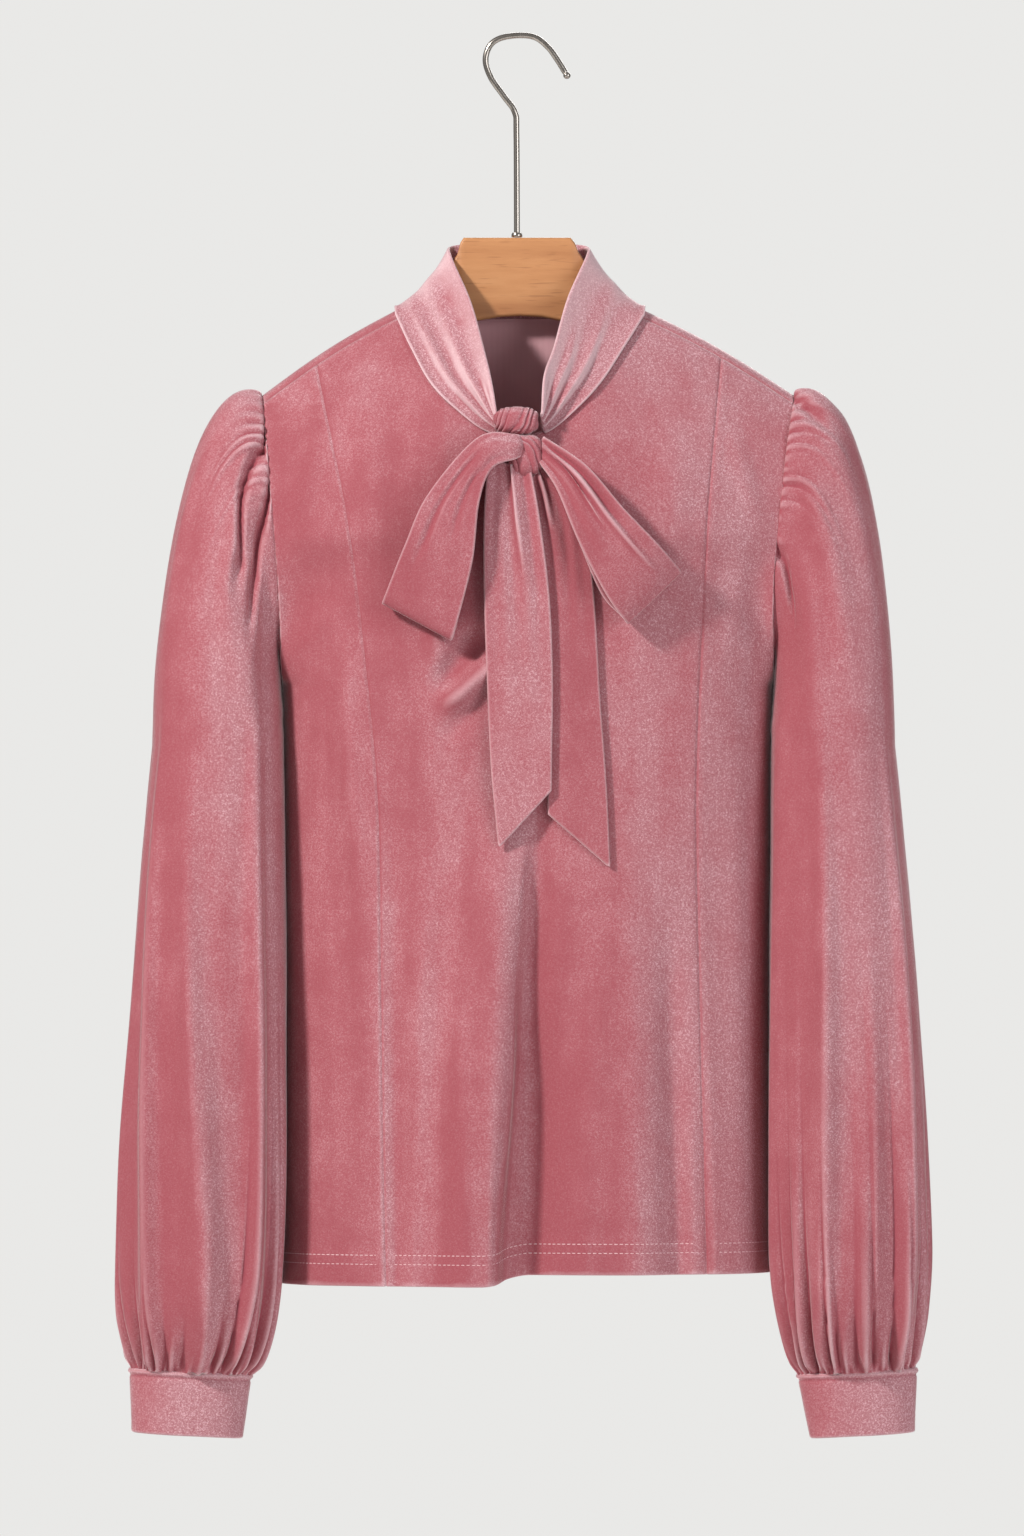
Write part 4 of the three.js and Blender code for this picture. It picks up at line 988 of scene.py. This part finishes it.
def add_front():
    neck = neckline_columns(FRONT_STEP)
    neck_z = between(NECKLINE, "x", "z", neck)
    neck_z[0], neck_z[-1] = on_shoulder(-NECK_HALF), on_shoulder(NECK_HALF)
    # The columns beside the neck end short of it, and the neck's own begin there.
    left_top, right_top = seam_top("left"), seam_top("right")
    near_left = closer(columns_between(left_top + HALF_SEAM, -NECK_HALF, FRONT_STEP))[:-4]
    near_right = closer(columns_between(NECK_HALF, right_top - HALF_SEAM, FRONT_STEP))[4:]
    top_x = np.concatenate([near_left, neck, near_right])
    top_z = np.concatenate([on_shoulder(near_left), neck_z, on_shoulder(near_right)])
    left_x = closer(columns_between(TIP_LEFT_X, left_top - HALF_SEAM, SIDE_STEP))
    right_x = closer(columns_between(right_top + HALF_SEAM, TIP_RIGHT_X, SIDE_STEP))
    edges = {
        "front_centre": (seam_edge("left", HALF_SEAM), seam_edge("right", -HALF_SEAM), top_x, top_z),
        "front_side_left": (side_edge(-1), seam_edge("left", -HALF_SEAM), left_x, on_shoulder(left_x)),
        "front_side_right": (seam_edge("right", HALF_SEAM), side_edge(1), right_x, on_shoulder(right_x)),
    }
    panels = [add_panel(name, *parts) for name, parts in edges.items()]
    ends = [TORSO["left"][0] + 0.3, PRINCESS["left"][0], PRINCESS["right"][0], TORSO["right"][0] - 0.3]
    rows = {
        name: add_stitches("hem_stitches_" + name, -1, start + 1.2, end - 1.2)
        for name, start, end in zip(("left", "centre", "right"), ends, ends[1:])
    }


def add_back():
    marks = (TIP_LEFT_X, -NECK_HALF, NECK_HALF, TIP_RIGHT_X)
    x = np.unique(np.concatenate([columns_between(a, b, BACK_STEP) for a, b in zip(marks, marks[1:])]))
    in_neck = np.abs(x) < NECK_HALF
    top = np.where(in_neck, between(BACK_NECK, "x", "z", np.abs(x)), crest(x) - ROLL)
    across = across_at(x, top)
    across[0], across[-1] = -1, 1
    bottom = hem_z(torso(1, across, HEM_LEFT_Z)[:, 0])
    z = heights(bottom, top, *BACK_ROWS)
    grid = np.broadcast_to(across, z.shape)
    points, facing = torso_cloth(1, grid, z)
    calm = calm_beside(grid) * ramp(top - z, 0, 30)
    lift = back_relief(points[..., 0], z) * calm + hem_relief(points[..., 0], z)
    lift = lift + seam_relief((1 - np.abs(grid)) * 300 + 1.2, 0.6)
    lift = lift + np.where(in_neck, seam_relief(top - z, 0.7), 0)
    points = points + facing * lift[..., None]
    outer, normals = [points], [facing]
    for angle in np.linspace(-np.pi / 2, SEAM_ANGLE, 27)[1:]:
        side, place, height = rolled(x, angle)
        place[0], place[-1] = -1, 1
        row, row_facing = torso_cloth(side, place, height)
        row = row + row_facing * seam_relief((SEAM_ANGLE - angle) * ROLL, 0.7)
        outer.append(np.where(in_neck[:, None], points[-1], row)[None])
        normals.append(np.where(in_neck[:, None], facing[-1], row_facing)[None])
    outer, normals = np.concatenate(outer), np.concatenate(normals)
    middle = np.abs(x[1:] + x[:-1]) / 2
    keep = (np.arange(outer.shape[0] - 1)[:, None] < z.shape[0] - 1) | (middle > NECK_HALF)[None]
    back = cloth_piece("back", outer, normals, CLOTH, [DARKER_VELVET, KNIT], keep=keep)
    row = add_stitches("hem_stitches_back", 1, TORSO["left"][0] + 1.5, TORSO["right"][0] - 1.5)


# ---- Sleeves and cuffs ----

SLEEVE_COLUMN_COUNT, CAP_ROWS, ARM_ROWS, SLEEVE_ROW_POWER = 300, 52, 88, 1.35
CUFF_COLUMN_COUNT, CUFF_ROWS = 160, 40
# Each cap: how far it puffs, the size and the spread of its gathers, and its lip over the seam.
CAP_SHAPES = {-1: (3.2, 3.6, 30, 2.6), 1: (4.6, 2.7, 44, 3.6)}

# Long folds of each sleeve, with the angle of each at the underarm and at the cuff.
# angle high, angle low, width, depth, from way, full at way
LONG_FOLDS = {
    -1: numbers("""
16 19 8 3.2 1.1 1.8
38 58 7 7.5 0.7 1.7
70 96 9 9 0.9 1.75
122 131 8 8 0.6 1.6
165 160 12 4.5 1.2 1.8
205 198 17 4 0.8 1.8
246 254 15 5 0.9 1.8
288 280 12 3.5 1.2 1.8
318 312 15 4.5 0.8 1.7
"""),
    1: numbers("""
40 49.5 7 8 0.8 1.7
70 78 6 4 1.2 1.8
96 88.6 7 3.4 1.55 1.9
100 107 8 8.5 0.8 1.7
150 158 12 5 0.6 1.6
198 204 16 4.2 0.9 1.8
240 248 15 5 0.8 1.8
286 290 13 3.6 1.2 1.8
322 316 15 4.5 0.8 1.7
"""),
}
# angle at the seam, turn for each way, width, depth, crest, end
CAP_PLEATS = {
    -1: numbers("""
58 60 12 4 0.3 0.9
100 20 12 4 0.4 1.1
20 10 9 3 0.3 0.9
330 -10 12 4 0.3 1
292 12 10 4 0.35 0.9
"""),
    1: numbers("""
62 20 14 4 0.3 0.9
96 10 12 3 0.5 1.1
30 10 12 3 0.3 0.9
330 -10 12 4 0.3 1
290 10 10 4 0.35 0.9
"""),
}

# Creases of each cap: the places that a valley goes through, as angle and way, with its width and depth.
CAP_CREASES = {
    -1: [
        ([24, 40, 60, 74, 84, 90], [0.0, 0.03, 0.19, 0.25, 0.3, 0.5], 4.5, -6.5),
        ([48, 56, 78, 98, 106, 110], [-0.1, 0.0, 0.08, 0.21, 0.38, 0.6], 4.5, -6.0),
        ([300, 296, 290], [0.0, 0.2, 0.5], 5, -3.5),
        ([330, 322, 318], [0.0, 0.2, 0.4], 5, -3.0),
    ],
    1: [
        ([8, 20, 26], [0.0, 0.1, 0.24], 4.5, -3.6),
        ([352, 356, 2], [0.0, 0.12, 0.26], 4.5, -3.6),
        ([95, 99, 112, 122], [0.0, 0.09, 0.2, 0.42], 4, -4.0),
        ([60, 64, 70], [0.0, 0.1, 0.26], 6, -1.8),
        ([300, 296, 290], [0.0, 0.2, 0.5], 5, -3.5),
    ],
}


def section_point(table, hand, angle, z):
    """A point of an oval section, angle 0 at the outer edge and a quarter turn at the front."""
    names = (f"outer{hand}", f"inner{hand}", "depth", "middle")
    outer, inner, depth, middle = (between(table, "z", name, z) for name in names)
    x = (outer + inner) / 2 + (outer - inner) / 2 * signed_power(np.cos(angle), SQUARENESS)
    y = middle - depth * signed_power(np.sin(angle), SQUARENESS)
    tilt = CUFF_TILT / 2 * (np.cos(angle) - 1) * ramp(z, TILT_FROM_Z, CUFF_TOP_Z)
    return stack(x, y, z + tilt)


def armhole(outward):
    """A function that gives the armhole's point at a share of the way round, first down the front."""
    z = TIP_Z + (UNDERARM_Z - TIP_Z) * (1 - np.cos(np.linspace(0, np.pi, 241))) / 2
    halves = []
    for side in (-1, 1):
        points = torso(side, outward, z)
        halves.append((lengths_along(points), points))

    def at(turn):
        found = []
        for (lengths, points), share in zip(halves, (turn, 1 - turn)):
            found.append(picked(share * 2 * lengths[-1], lengths, points))
        point = np.where((turn < 0.5)[..., None], *found)
        point[..., 0] += outward * 2 * HALF_SEAM
        return point

    return at


def sleeve_form(outward):
    """The smooth form of a sleeve. way runs from 0 at the armhole, past 1 below the underarm, to 2."""
    seam = armhole(outward)
    top_z = SLEEVE["z"][0]

    def form(angle, way):
        angle, way = np.broadcast_arrays(np.asarray(angle, float), np.asarray(way, float))
        foot = CUFF_TOP_Z + 2 * HALF_SEAM
        low = section_point(SLEEVE, outward, angle, top_z + (foot - top_z) * (np.maximum(way, 1) - 1))
        start = seam((angle / (2 * np.pi) + 1) % 1)
        end = section_point(SLEEVE, outward, angle, np.full_like(angle, top_z))
        reach = np.linalg.norm(end - start, axis=-1)
        high = (1 + np.cos(angle)) / 2
        t = np.minimum(way, 1)
        push = CAP_PUSH * ramp(high, 0, 0.2)
        x = cubic(start[..., 0], end[..., 0], push * reach * outward, 0, t)
        y = cubic(start[..., 1], end[..., 1], 0, 0, t)
        fall = -reach * (CAP_FALL + CAP_FALL_HIGH * high)
        z = cubic(start[..., 2], end[..., 2], CAP_LIFT * reach * high, fall, t)
        return np.where((way >= 1)[..., None], low, stack(x, y, z))

    return form


def apart(angle, middle):
    """How many degrees an angle in radians is from a middle one in degrees."""
    return np.abs((np.degrees(angle) - middle + 180) % 360 - 180)


def near(angle, middle, width):
    return bell(apart(angle, middle), width)


def long_folds(outward, angle, way):
    """How far the long folds, the cap's pleats and its creases lift the sleeve."""
    total = 0
    for high, low, width, depth, start, full in LONG_FOLDS[outward]:
        middle = high + (low - high) * ramp(way, 1, 2)
        strength = ramp(way, start, full) * (1 - LONG_FOLDS_TAKEN * ramp(way, 1.86, 2))
        total = total + depth * strength * near(angle, middle, width)
    for middle, turn, width, depth, top, end in CAP_PLEATS[outward]:
        length = ramp(way, 0, top) * (1 - ramp(way, top, end))
        total = total + depth * length * near(angle, middle + turn * way, width)
    for angles, ways, width, depth in CAP_CREASES[outward]:
        middle = np.interp(way, ways, np.unwrap(angles, period=360))
        length = ramp(way, ways[0] - 0.02, ways[0] + 0.03) * (1 - ramp(way, ways[-2] * 0.7, ways[-1]))
        total = total + depth * length * near(angle, middle, width * (1 + 0.6 * way))
    return total


def gathers(seed, count, angle, distance, size, lengths):
    """Gathers that start at a seam: round lobes with sharp valleys between, each with its own width,
    height and length. distance is from the seam, in millimetres."""
    rng = np.random.default_rng(seed)
    pitch = 360 / count
    valleys = pitch * (np.arange(count) + rng.uniform(-0.34, 0.34, count))
    height, length = rng.uniform(0.55, 1.3, count), rng.choice(lengths, count)
    turn = 5 * np.sin(2 * angle + seed) * np.minimum(distance / 60, 1)
    place = (np.degrees(angle) + turn - valleys[0]) % 360
    starts = np.append(valleys - valleys[0], 360)
    k = np.searchsorted(starts, place, side="right") - 1
    share = (place - starts[k]) / (starts[k + 1] - starts[k])
    lobe = np.sin(np.pi * np.clip(share, 0, 1)) ** 0.85 - 0.35
    fading = height[k] * np.exp(-((distance / length[k]) ** 1.4))
    return size * (fading * lobe - 0.5 * np.exp(-distance / 12))


def add_sleeve(name, outward):
    """A puffed sleeve, gathered into the armhole and into its cuff."""
    form = sleeve_form(outward)
    puff_size, gather_size, gather_spread, lip_size = CAP_SHAPES[outward]
    cap = np.linspace(0, 1, CAP_ROWS + 1)[:-1] ** SLEEVE_ROW_POWER
    arm = 2 - (1 - np.linspace(0, 1, ARM_ROWS + 1)) ** SLEEVE_ROW_POWER
    way, angle = np.concatenate([cap, arm])[:, None], full_turn(SLEEVE_COLUMN_COUNT)[None]
    normal = np.cross(slope(lambda v: form(v, way), angle), slope(lambda v: form(angle, v), way, 0, 2))
    normal[-1, :, 2] = 0
    normal = unit(normal) * outward
    points = form(angle, way)
    from_cuff = (2 - way) * (SLEEVE["z"][0] - CUFF_TOP_Z)
    reach = np.linalg.norm(points - points[:1], axis=-1)
    lift = long_folds(outward, angle, way)
    lift = lift + ramp(from_cuff, -2, 8) * gathers(
        21 + outward, CUFF_GATHERS, angle, from_cuff, 9.5, (20, 28, 40, 60, 95)
    )
    lift = lift + ramp(from_cuff, -3, 2) * gathers(
        41 + outward, 2 * CUFF_GATHERS, angle, from_cuff, 2.0, (8, 10, 14)
    )
    lift = lift + puff_size * (1 - np.exp(-reach / 3)) * near(angle, 30, 62) * (1 - ramp(way, 0.25, 1))
    cap_gathers = gathers(31 + outward, CAP_GATHERS, angle, reach, gather_size, (7, 10, 16, 28))
    where = near(angle, 38, gather_spread) + 0.6 * near(angle, 320, 40)
    lift = lift + cap_gathers * ramp(reach, 0.3, 3.5) * where * (way < 1)
    slack = cloth_waver(way * 300 + np.degrees(angle) * 0.5 + 90 * outward)
    lift = lift + 0.7 * slack * ramp(way, 0.15, 0.4) * (1 - ramp(way, 1.8, 2)) - 0.5 * bell(reach, 1.6)
    points = points + normal * lift[..., None]
    points[..., 0] -= outward * lip_size * bell(reach - 4, 4) * near(angle, 50, 50) * (way < 1)
    return cloth_piece(name, points, normal, CLOTH, [ROSE, KNIT], wrap=True)


def add_cuff(name, hand):
    """A plain cuff: a double band round the wrist, with a piped seam at its top and a soft fold."""
    angle = full_turn(CUFF_COLUMN_COUNT)[None]
    z = np.linspace(CUFF_TOP_Z, CUFF_BOTTOM_Z, CUFF_ROWS + 1)[:, None]
    points = section_point(CUFF, hand, angle, z + 0 * angle)
    around = slope(lambda v: section_point(CUFF, hand, v, z), angle)
    out = unit(stack(around[..., 1], -around[..., 0], 0))
    away = points - points.mean(1, keepdims=True)
    out = out * np.sign((out * away).sum(-1, keepdims=True))
    down = CUFF_TOP_Z - z
    lift = -0.7 * bell(down - 3.3, 0.9) + 0.9 * bell(down - 1.0, 1.2)
    lift = lift + 0.5 * bell(down - 20, 16) * cloth_waver(np.degrees(angle) * 1.1 + 2 * down)
    lift = lift + 0.25 * bell(down - 37, 3) * seam_waver(np.degrees(angle) * 0.8)
    return cloth_piece(name, points + out * lift[..., None], out, CUFF_CLOTH, [BRUSHED], wrap=True)


# ---- Collar ----

# Furrows of the collar: share and rise at both ends, width and depth.
COLLAR_FURROWS = {
    -1: numbers("""
0 0.36 0.62 0.22 0.08 3.2
0 0.66 0.5 0.58 0.09 2.6
0 0.84 0.2 0.86 0.05 1
0.3 0.62 0.8 0.5 0.14 1
"""),
    1: numbers("""
0 0.34 0.5 0.44 0.07 3.4
0 0.6 0.45 0.76 0.08 2.6
0 0.82 0.2 0.86 0.05 0.9
0.3 0.5 0.8 0.45 0.14 1
"""),
}


def neck_seam(hand):
    """The neck seam on one side, from the knot over the shoulder to the centre of the back."""
    x = np.linspace(COLLAR_END_X, NECK_HALF, 160) * hand
    z = between(NECKLINE, "x", "z", x)
    z[-1] = on_shoulder(x[-1])
    found = [torso_cloth(-1, across_at(x, z), z)]
    for angle in np.linspace(SEAM_ANGLE, -np.pi / 2, 24)[1:]:
        found.append(torso_cloth(*rolled(np.array([hand * NECK_HALF]), angle)))
    x = np.linspace(NECK_HALF, 0, 60)[1:] * hand
    z = between(BACK_NECK, "x", "z", np.abs(x))
    found.append(torso_cloth(1, across_at(x, z), z))
    return [np.concatenate(parts) for parts in zip(*found)]


def smoothed(values, width):
    """Values along a line, each the mean of those near it."""
    weights = np.hanning(2 * width + 3)[1:-1]
    weights = weights / weights.sum()
    padded = np.concatenate([np.repeat(values[:1], width, 0), values, np.repeat(values[-1:], width, 0)])
    return np.stack([np.convolve(padded[:, k], weights, mode="valid") for k in range(values.shape[1])], -1)


def collar_side(hand, table):
    """The collar on one side: the seam's point, the folded edge, the bulge's way and the share along it."""
    raw, facing = neck_seam(hand)
    lengths = lengths_along(raw)
    share = np.linspace(0, 1, COLLAR_COLUMN_COUNT)
    pick = lambda data: picked(share * lengths[-1], lengths, data)
    at, facing = pick(raw), unit(smoothed(pick(facing), 4))
    way = unit(smoothed(np.gradient(at, axis=0), 4))
    inward = unit(np.cross(way, facing)) * -hand
    foot = at + inward * COLLAR_GAP
    edge = stack(*[between(table, "share", k, share) for k in "xyz"])
    out = unit(smoothed(unit(np.cross(way, edge - foot)) * -hand, 6))
    return foot, edge, out, share


def add_collar():
    """The stand collar, a folded band sewn round the neck whose ends go into the knot."""
    sides = []
    for hand, table in ((-1, COLLAR_LEFT), (1, COLLAR_RIGHT)):
        foot, edge, out, share = collar_side(hand, table)
        rise = np.linspace(0, 1, COLLAR_ROWS + 1)[:, None]
        furrow = 0
        for share0, rise0, share1, rise1, width, depth in COLLAR_FURROWS[hand]:
            t = np.clip((share - share0) / (share1 - share0), 0, 1)
            line = rise0 + (rise1 - rise0) * t
            strength = 1 - ramp(share, share0 + (share1 - share0) * 0.45, share1)
            furrow = furrow + depth * strength * bell(rise - line, width)
        middle = (foot + edge) / 2 + out * COLLAR_BULGE
        r = rise[..., None]
        low, high = foot + (middle - foot) * r, middle + (edge - middle) * r
        points = low + (high - low) * r - out * furrow[..., None]
        ripple = 0.45 * cloth_waver(share * 230 + rise * 60 + 40 * hand) * np.sin(np.pi * rise)
        points = points + out * (ripple + seam_relief(rise * 48, 0.8))[..., None]
        sides.append((points, np.broadcast_to(out, points.shape)))
    points, out = (np.concatenate([left, right[:, -2::-1]], 1) for left, right in zip(*sides))
    collar = cloth_piece("collar", points, out, COLLAR_CLOTH, [PALEST])


# ---- Bow ----


# Loops and tails: name, table, rows of vertices, cloth and creases. A crease has the place and
# the share across at both ends, its width and its depth.
LOOPS = [
    ("bow_loop_left", LOOP_LEFT, 150, ROSE, numbers("""
0.5 0 2.9 0 0.75 2.6
2.2 0.25 4.4 0.6 0.12 -2.2
2.4 -0.45 3.8 -0.3 0.12 -1.6
""")),
    # The right loop takes the darker velvet as painted shade.
    ("bow_loop_right", LOOP_RIGHT, 150, DARKER_VELVET, numbers("""
0 -0.1 2.2 0.1 0.1 -2.8
0.8 0.3 3.8 0.5 0.1 -2.2
0.2 0.5 2.4 0.6 0.14 2
""")),
]
TAILS = [
    ("tie_tail_left", TAIL_LEFT, 110, ROSE, numbers("""
-0.3 0.1 1.7 0.28 0.08 -2.8
-0.3 -0.35 2.4 -0.1 0.3 1.6
-0.2 0.6 2.2 0.7 0.2 1.2
""")),
    # The right tail takes the darker velvet as painted shade.
    ("tie_tail_right", TAIL_RIGHT, 110, DARKER_VELVET, numbers("""
0 -0.2 1.9 -0.45 0.12 -2
0.2 0.3 3.2 0.1 0.2 1.2
""")),
]
RIBBON_COLUMNS = 34


def add_ribbon(name, table, steps, cloth, creases):
    """A ribbon of the bow. Its middle line and half width come from a table, row by row."""

    def middle(across, place):
        x = along(table, "x", place) + across * along(table, "halfX", place)
        z = along(table, "z", place) + across * along(table, "halfZ", place)
        pleat = along(table, "pleat", place) * np.cos(3 * np.pi * across)
        return stack(x, front_y(x, z) - along(table, "lift", place) + pleat, z)

    last = len(table["x"]) - 1
    place = np.linspace(0, last, steps + 1)[:, None]
    across = np.linspace(-1, 1, RIBBON_COLUMNS + 1)[None]
    across = np.sin(across * np.pi / 2) * 0.25 + across * 0.75
    sideways = slope(lambda v: middle(v, place), across, -1, 1)
    normal = unit(np.cross(sideways, slope(lambda v: middle(across, v), place, 0, last)))
    lift = TIE_CLOTH / 2
    for place0, across0, place1, across1, width, depth in creases:
        t = (place - place0) / (place1 - place0)
        inside = ramp(t, -0.12, 0.15) * (1 - ramp(t, 0.6, 1.1))
        line = across0 + (across1 - across0) * np.clip(t, 0, 1)
        lift = lift + depth * inside * bell(across - line, width)
    points = middle(across, place) + normal * lift[..., None]
    return cloth_piece(name, points, normal, TIE_CLOTH, [cloth])


KNOTS = [
    # name, x, z, half sizes x y z, how its grooves lie in x, z and z squared, lobes
    ("knot_upper", -2.2, -239.6, 14.6, 10.0, 9.0, 1.0, -0.3, 0.1, 6.4),
    ("knot_lower", 3.6, -261.0, 11.2, 8.5, 13.0, 0.9, 0.55, 0.35, 4.4),
]
KNOT_STAND, KNOT_RINGS, KNOT_SIDES = 0.6, 85, 168


def add_knot(name, x, z, half_x, half_y, half_z, slant_x, slant_z, bow, lobes):
    """A wrap of the knot: a rounded lump whose cloth is drawn into lobes with sharp grooves between."""
    seat = float(front_y(np.array(x), np.array(z))) - KNOT_STAND - half_y
    tilt, turn = np.linspace(-1.5, 1.5, KNOT_RINGS)[:, None], full_turn(KNOT_SIDES)[None]
    cx, cy, cz = np.cos(turn) * np.cos(tilt), np.sin(turn) * np.cos(tilt), np.sin(tilt) + 0 * turn
    slant = cx * slant_x + cz * slant_z + cz**2 * bow
    uneven = slant + 0.07 * np.sin(6 * slant + x)
    groove = 1 - 0.14 * (1 - np.abs(np.sin(np.pi * lobes / 2 * uneven)) ** 0.55)
    rings = stack(
        x + half_x * groove * signed_power(cx, 0.75),
        seat + half_y * groove * signed_power(cy, 0.8),
        z + half_z * (0.5 + 0.5 * groove) * signed_power(cz, 0.75),
    )
    knot = placed(lofted(name + "_cloth", rings, DARKER_VELVET), "velvet", name)


# ---- Hanger ----

WOOD = columns("x top inset bottom thick", """
-149 0 9 -230 1.5
-147.5 0 3 -235 3.5
-144 0 0 -238 5
-120 0 0 -221 5
-98 0 0 -208 5
-76 0 0 -197 5
-58 -159 0 -189 5
-46 -145 0 -184 5
-39 -134.5 0 -180.5 5
-37 -127 0 -179.7 5
-35 -124 0 -178.9 5
-28 -124 0 -176 5
-14 -124 0 -173.5 5
0 -124 0 -172.7 5
14 -124 0 -173.5 5
26 -124 0 -176 5
31.6 -124 0 -178.4 5
34 -127 0 -179.4 5
36.6 -133.3 0 -180.5 5
46 -146 0 -184 5
58 -159 0 -189 5
76 0 0 -197 5
98 0 0 -208 5
128 0 0 -223 5
153 0 0 -236 5
156.5 0 3 -234 3.5
158 0 9 -229 1.5
""")
WOOD_ROUND = 2.4
FERRULE = [(2.2, 0.3), (3.0, 0.3), (3.4, 0.6), (3.4, 2.0), (3.1, 2.5), (3.1, 2.8), (2.8, 3.2), (2.2, 3.3)]


def add_wood():
    """The flat wooden body: a bar along x with rounded edges, its grain lengthways."""
    marks = WOOD["x"]
    top = np.where(WOOD["top"] == 0, crest(marks) - ARM_DROP - WOOD["inset"], WOOD["top"])
    x = np.unique(np.concatenate([marks, np.arange(-146, 156, 2.0)]))
    top, bottom, thick = (np.interp(x, marks, v) for v in (top, WOOD["bottom"], WOOD["thick"]))
    corner = np.linspace(0, np.pi / 2, 6)
    rings = []
    for place, high, low, half in zip(x, top, bottom, thick):
        r = min(WOOD_ROUND, half * 0.95)
        ring = []
        for k, (sy, z) in enumerate(((1, high), (1, low), (-1, low), (-1, high))):
            sz = 1 if z == high else -1
            turn = corner if k in (1, 3) else corner[::-1]
            for a in turn:
                ring.append((place, sy * (half - r + r * math.cos(a)), z - sz * r + sz * r * math.sin(a)))
        rings.append(ring)
    placed(lofted("hanger_board", np.array(rings), BEECH), "wood", "hanger_wood")


def add_hook():
    last = len(HOOK["x"]) - 1
    at = lambda place: stack(along(HOOK, "x", place), 0, along(HOOK, "z", place))
    place = np.linspace(0, last, 181)
    heading = unit(slope(at, place, 0, last))
    tip, way = at(np.array([float(last)]))[0], heading[-1]
    angles = np.linspace(-0.9, 1.5, 14)
    ball = tip + way * (BALL_RADIUS * (1 + np.sin(angles)))[:, None]
    centres = np.concatenate([at(place), ball])
    headings = np.concatenate([heading, np.repeat(way[None], len(angles), 0)])
    radii = np.concatenate([np.full(len(place), WIRE_RADIUS), BALL_RADIUS * np.cos(angles)])
    placed(tube("hook_wire", centres, headings, radii, 28, STEEL), "steel", "hanger_hook")


def add_ferrule():
    """The steel collar round the foot of the wire: a ring from its radii and heights above the wood."""
    radius, height = np.array(FERRULE).T[:, :, None]
    turns = full_turn(48)
    points = stack(HOOK["x"][0] + radius * np.cos(turns), radius * np.sin(turns), WOOD_TOP_Z + height)
    faces = grid_cells(len(FERRULE), len(turns), len(turns)) % (len(FERRULE) * len(turns))
    ring = mesh_object("ferrule_ring", points.reshape(-1, 3) * MM, faces, [STEEL])
    placed(ring, "steel", "hanger_ferrule")


# ---- Everything together ----

add_front()
add_back()
for hand, name in ((-1, "left"), (1, "right")):
    sleeve, band = add_sleeve("sleeve_" + name, hand), add_cuff("cuff_" + name, hand)
add_collar()
for knot in KNOTS:
    add_knot(*knot)
loops = [add_ribbon(*loop) for loop in LOOPS]
tails = [add_ribbon(*tail) for tail in TAILS]
add_wood()
add_hook()
add_ferrule()


# ---- Floor, light and camera ----

FLOOR_Z = -1.5
PALE = (0.86, 0.855, 0.84, 1)
ROOM_LIGHT, BACKDROP = 0.3, 0.95
BLOUSE_MIDDLE = (0, 0, -0.45)
# name, place, size, power, colour
LIGHTS = [
    ("key", (-2.3, -2.0, 1.55), 0.38, 140, (1.0, 0.975, 0.94)),
    ("fill", (2.2, -2.4, 0.1), 1.8, 44, (0.96, 0.98, 1.0)),
    ("back", (0.6, 2.6, 1.0), 1.6, 40, (1, 1, 1)),
]
# The photograph in pixels: its height, its middle and where the frame's origin lies in it.
PHOTO_HIGH, MIDDLE_ACROSS, MIDDLE_DOWN, ORIGIN_ACROSS, ORIGIN_DOWN = 1536, 512, 768, 520, 36
PIXEL, SENSOR, CAMERA_DISTANCE, NEAREST_Y = 0.62 * MM, 36, 9.0, -0.03


def add_floor():
    n = Nodes("pale_floor")
    n.set(Base_Color=PALE, Roughness=0.8)
    corners = [(x, y, FLOOR_Z) for x, y in ((-3, -3), (3, -3), (3, 3), (-3, 3))]
    mesh_object("floor", np.array(corners), [(0, 1, 2, 3)], [n.material])


def add_light(name, place, size, power, colour):
    """A square light that shines at the middle of the blouse and isn't seen itself."""
    data = bpy.data.lights.new(name, "AREA")
    data.size, data.energy, data.color = size, power, colour
    light = bpy.data.objects.new(name, data)
    light.location = place
    light.rotation_mode = "QUATERNION"
    light.rotation_quaternion = (Vector(BLOUSE_MIDDLE) - Vector(place)).to_track_quat("-Z", "Y")
    light.visible_camera = False
    bpy.context.scene.collection.objects.link(light)


def add_world():
    """A pale room: the backdrop that is seen is lighter than the light that it gives."""
    world = bpy.data.worlds.new("studio")
    bpy.context.scene.world = world
    world.use_nodes = True
    nodes, links = world.node_tree.nodes, world.node_tree.links
    mix = nodes.new("ShaderNodeMixShader")
    links.new(nodes.new("ShaderNodeLightPath").outputs["Is Camera Ray"], mix.inputs[0])
    given, seen = nodes["Background"], nodes.new("ShaderNodeBackground")
    for k, (glow, colour, strength) in enumerate(((given, (1, 1, 1, 1), ROOM_LIGHT), (seen, PALE, BACKDROP))):
        glow.inputs["Color"].default_value = colour
        glow.inputs["Strength"].default_value = strength
        links.new(glow.outputs[0], mix.inputs[k + 1])
    links.new(mix.outputs[0], nodes["World Output"].inputs["Surface"])


def add_camera():
    """Straight on, from far enough away that the view is nearly flat."""
    data = bpy.data.cameras.new("camera")
    data.sensor_width = SENSOR
    data.lens = SENSOR * CAMERA_DISTANCE / (PHOTO_HIGH * PIXEL)
    data.clip_end = 100
    camera = bpy.data.objects.new("camera", data)
    x, z = (MIDDLE_ACROSS - ORIGIN_ACROSS) * PIXEL, (ORIGIN_DOWN - MIDDLE_DOWN) * PIXEL
    camera.location = (x, NEAREST_Y - CAMERA_DISTANCE, z)
    camera.rotation_euler = (math.pi / 2, 0, 0)
    bpy.context.scene.collection.objects.link(camera)
    bpy.context.scene.camera = camera


add_floor()
add_world()
for light in LIGHTS:
    add_light(*light)
add_camera()
bpy.context.scene.view_settings.view_transform = "Standard"
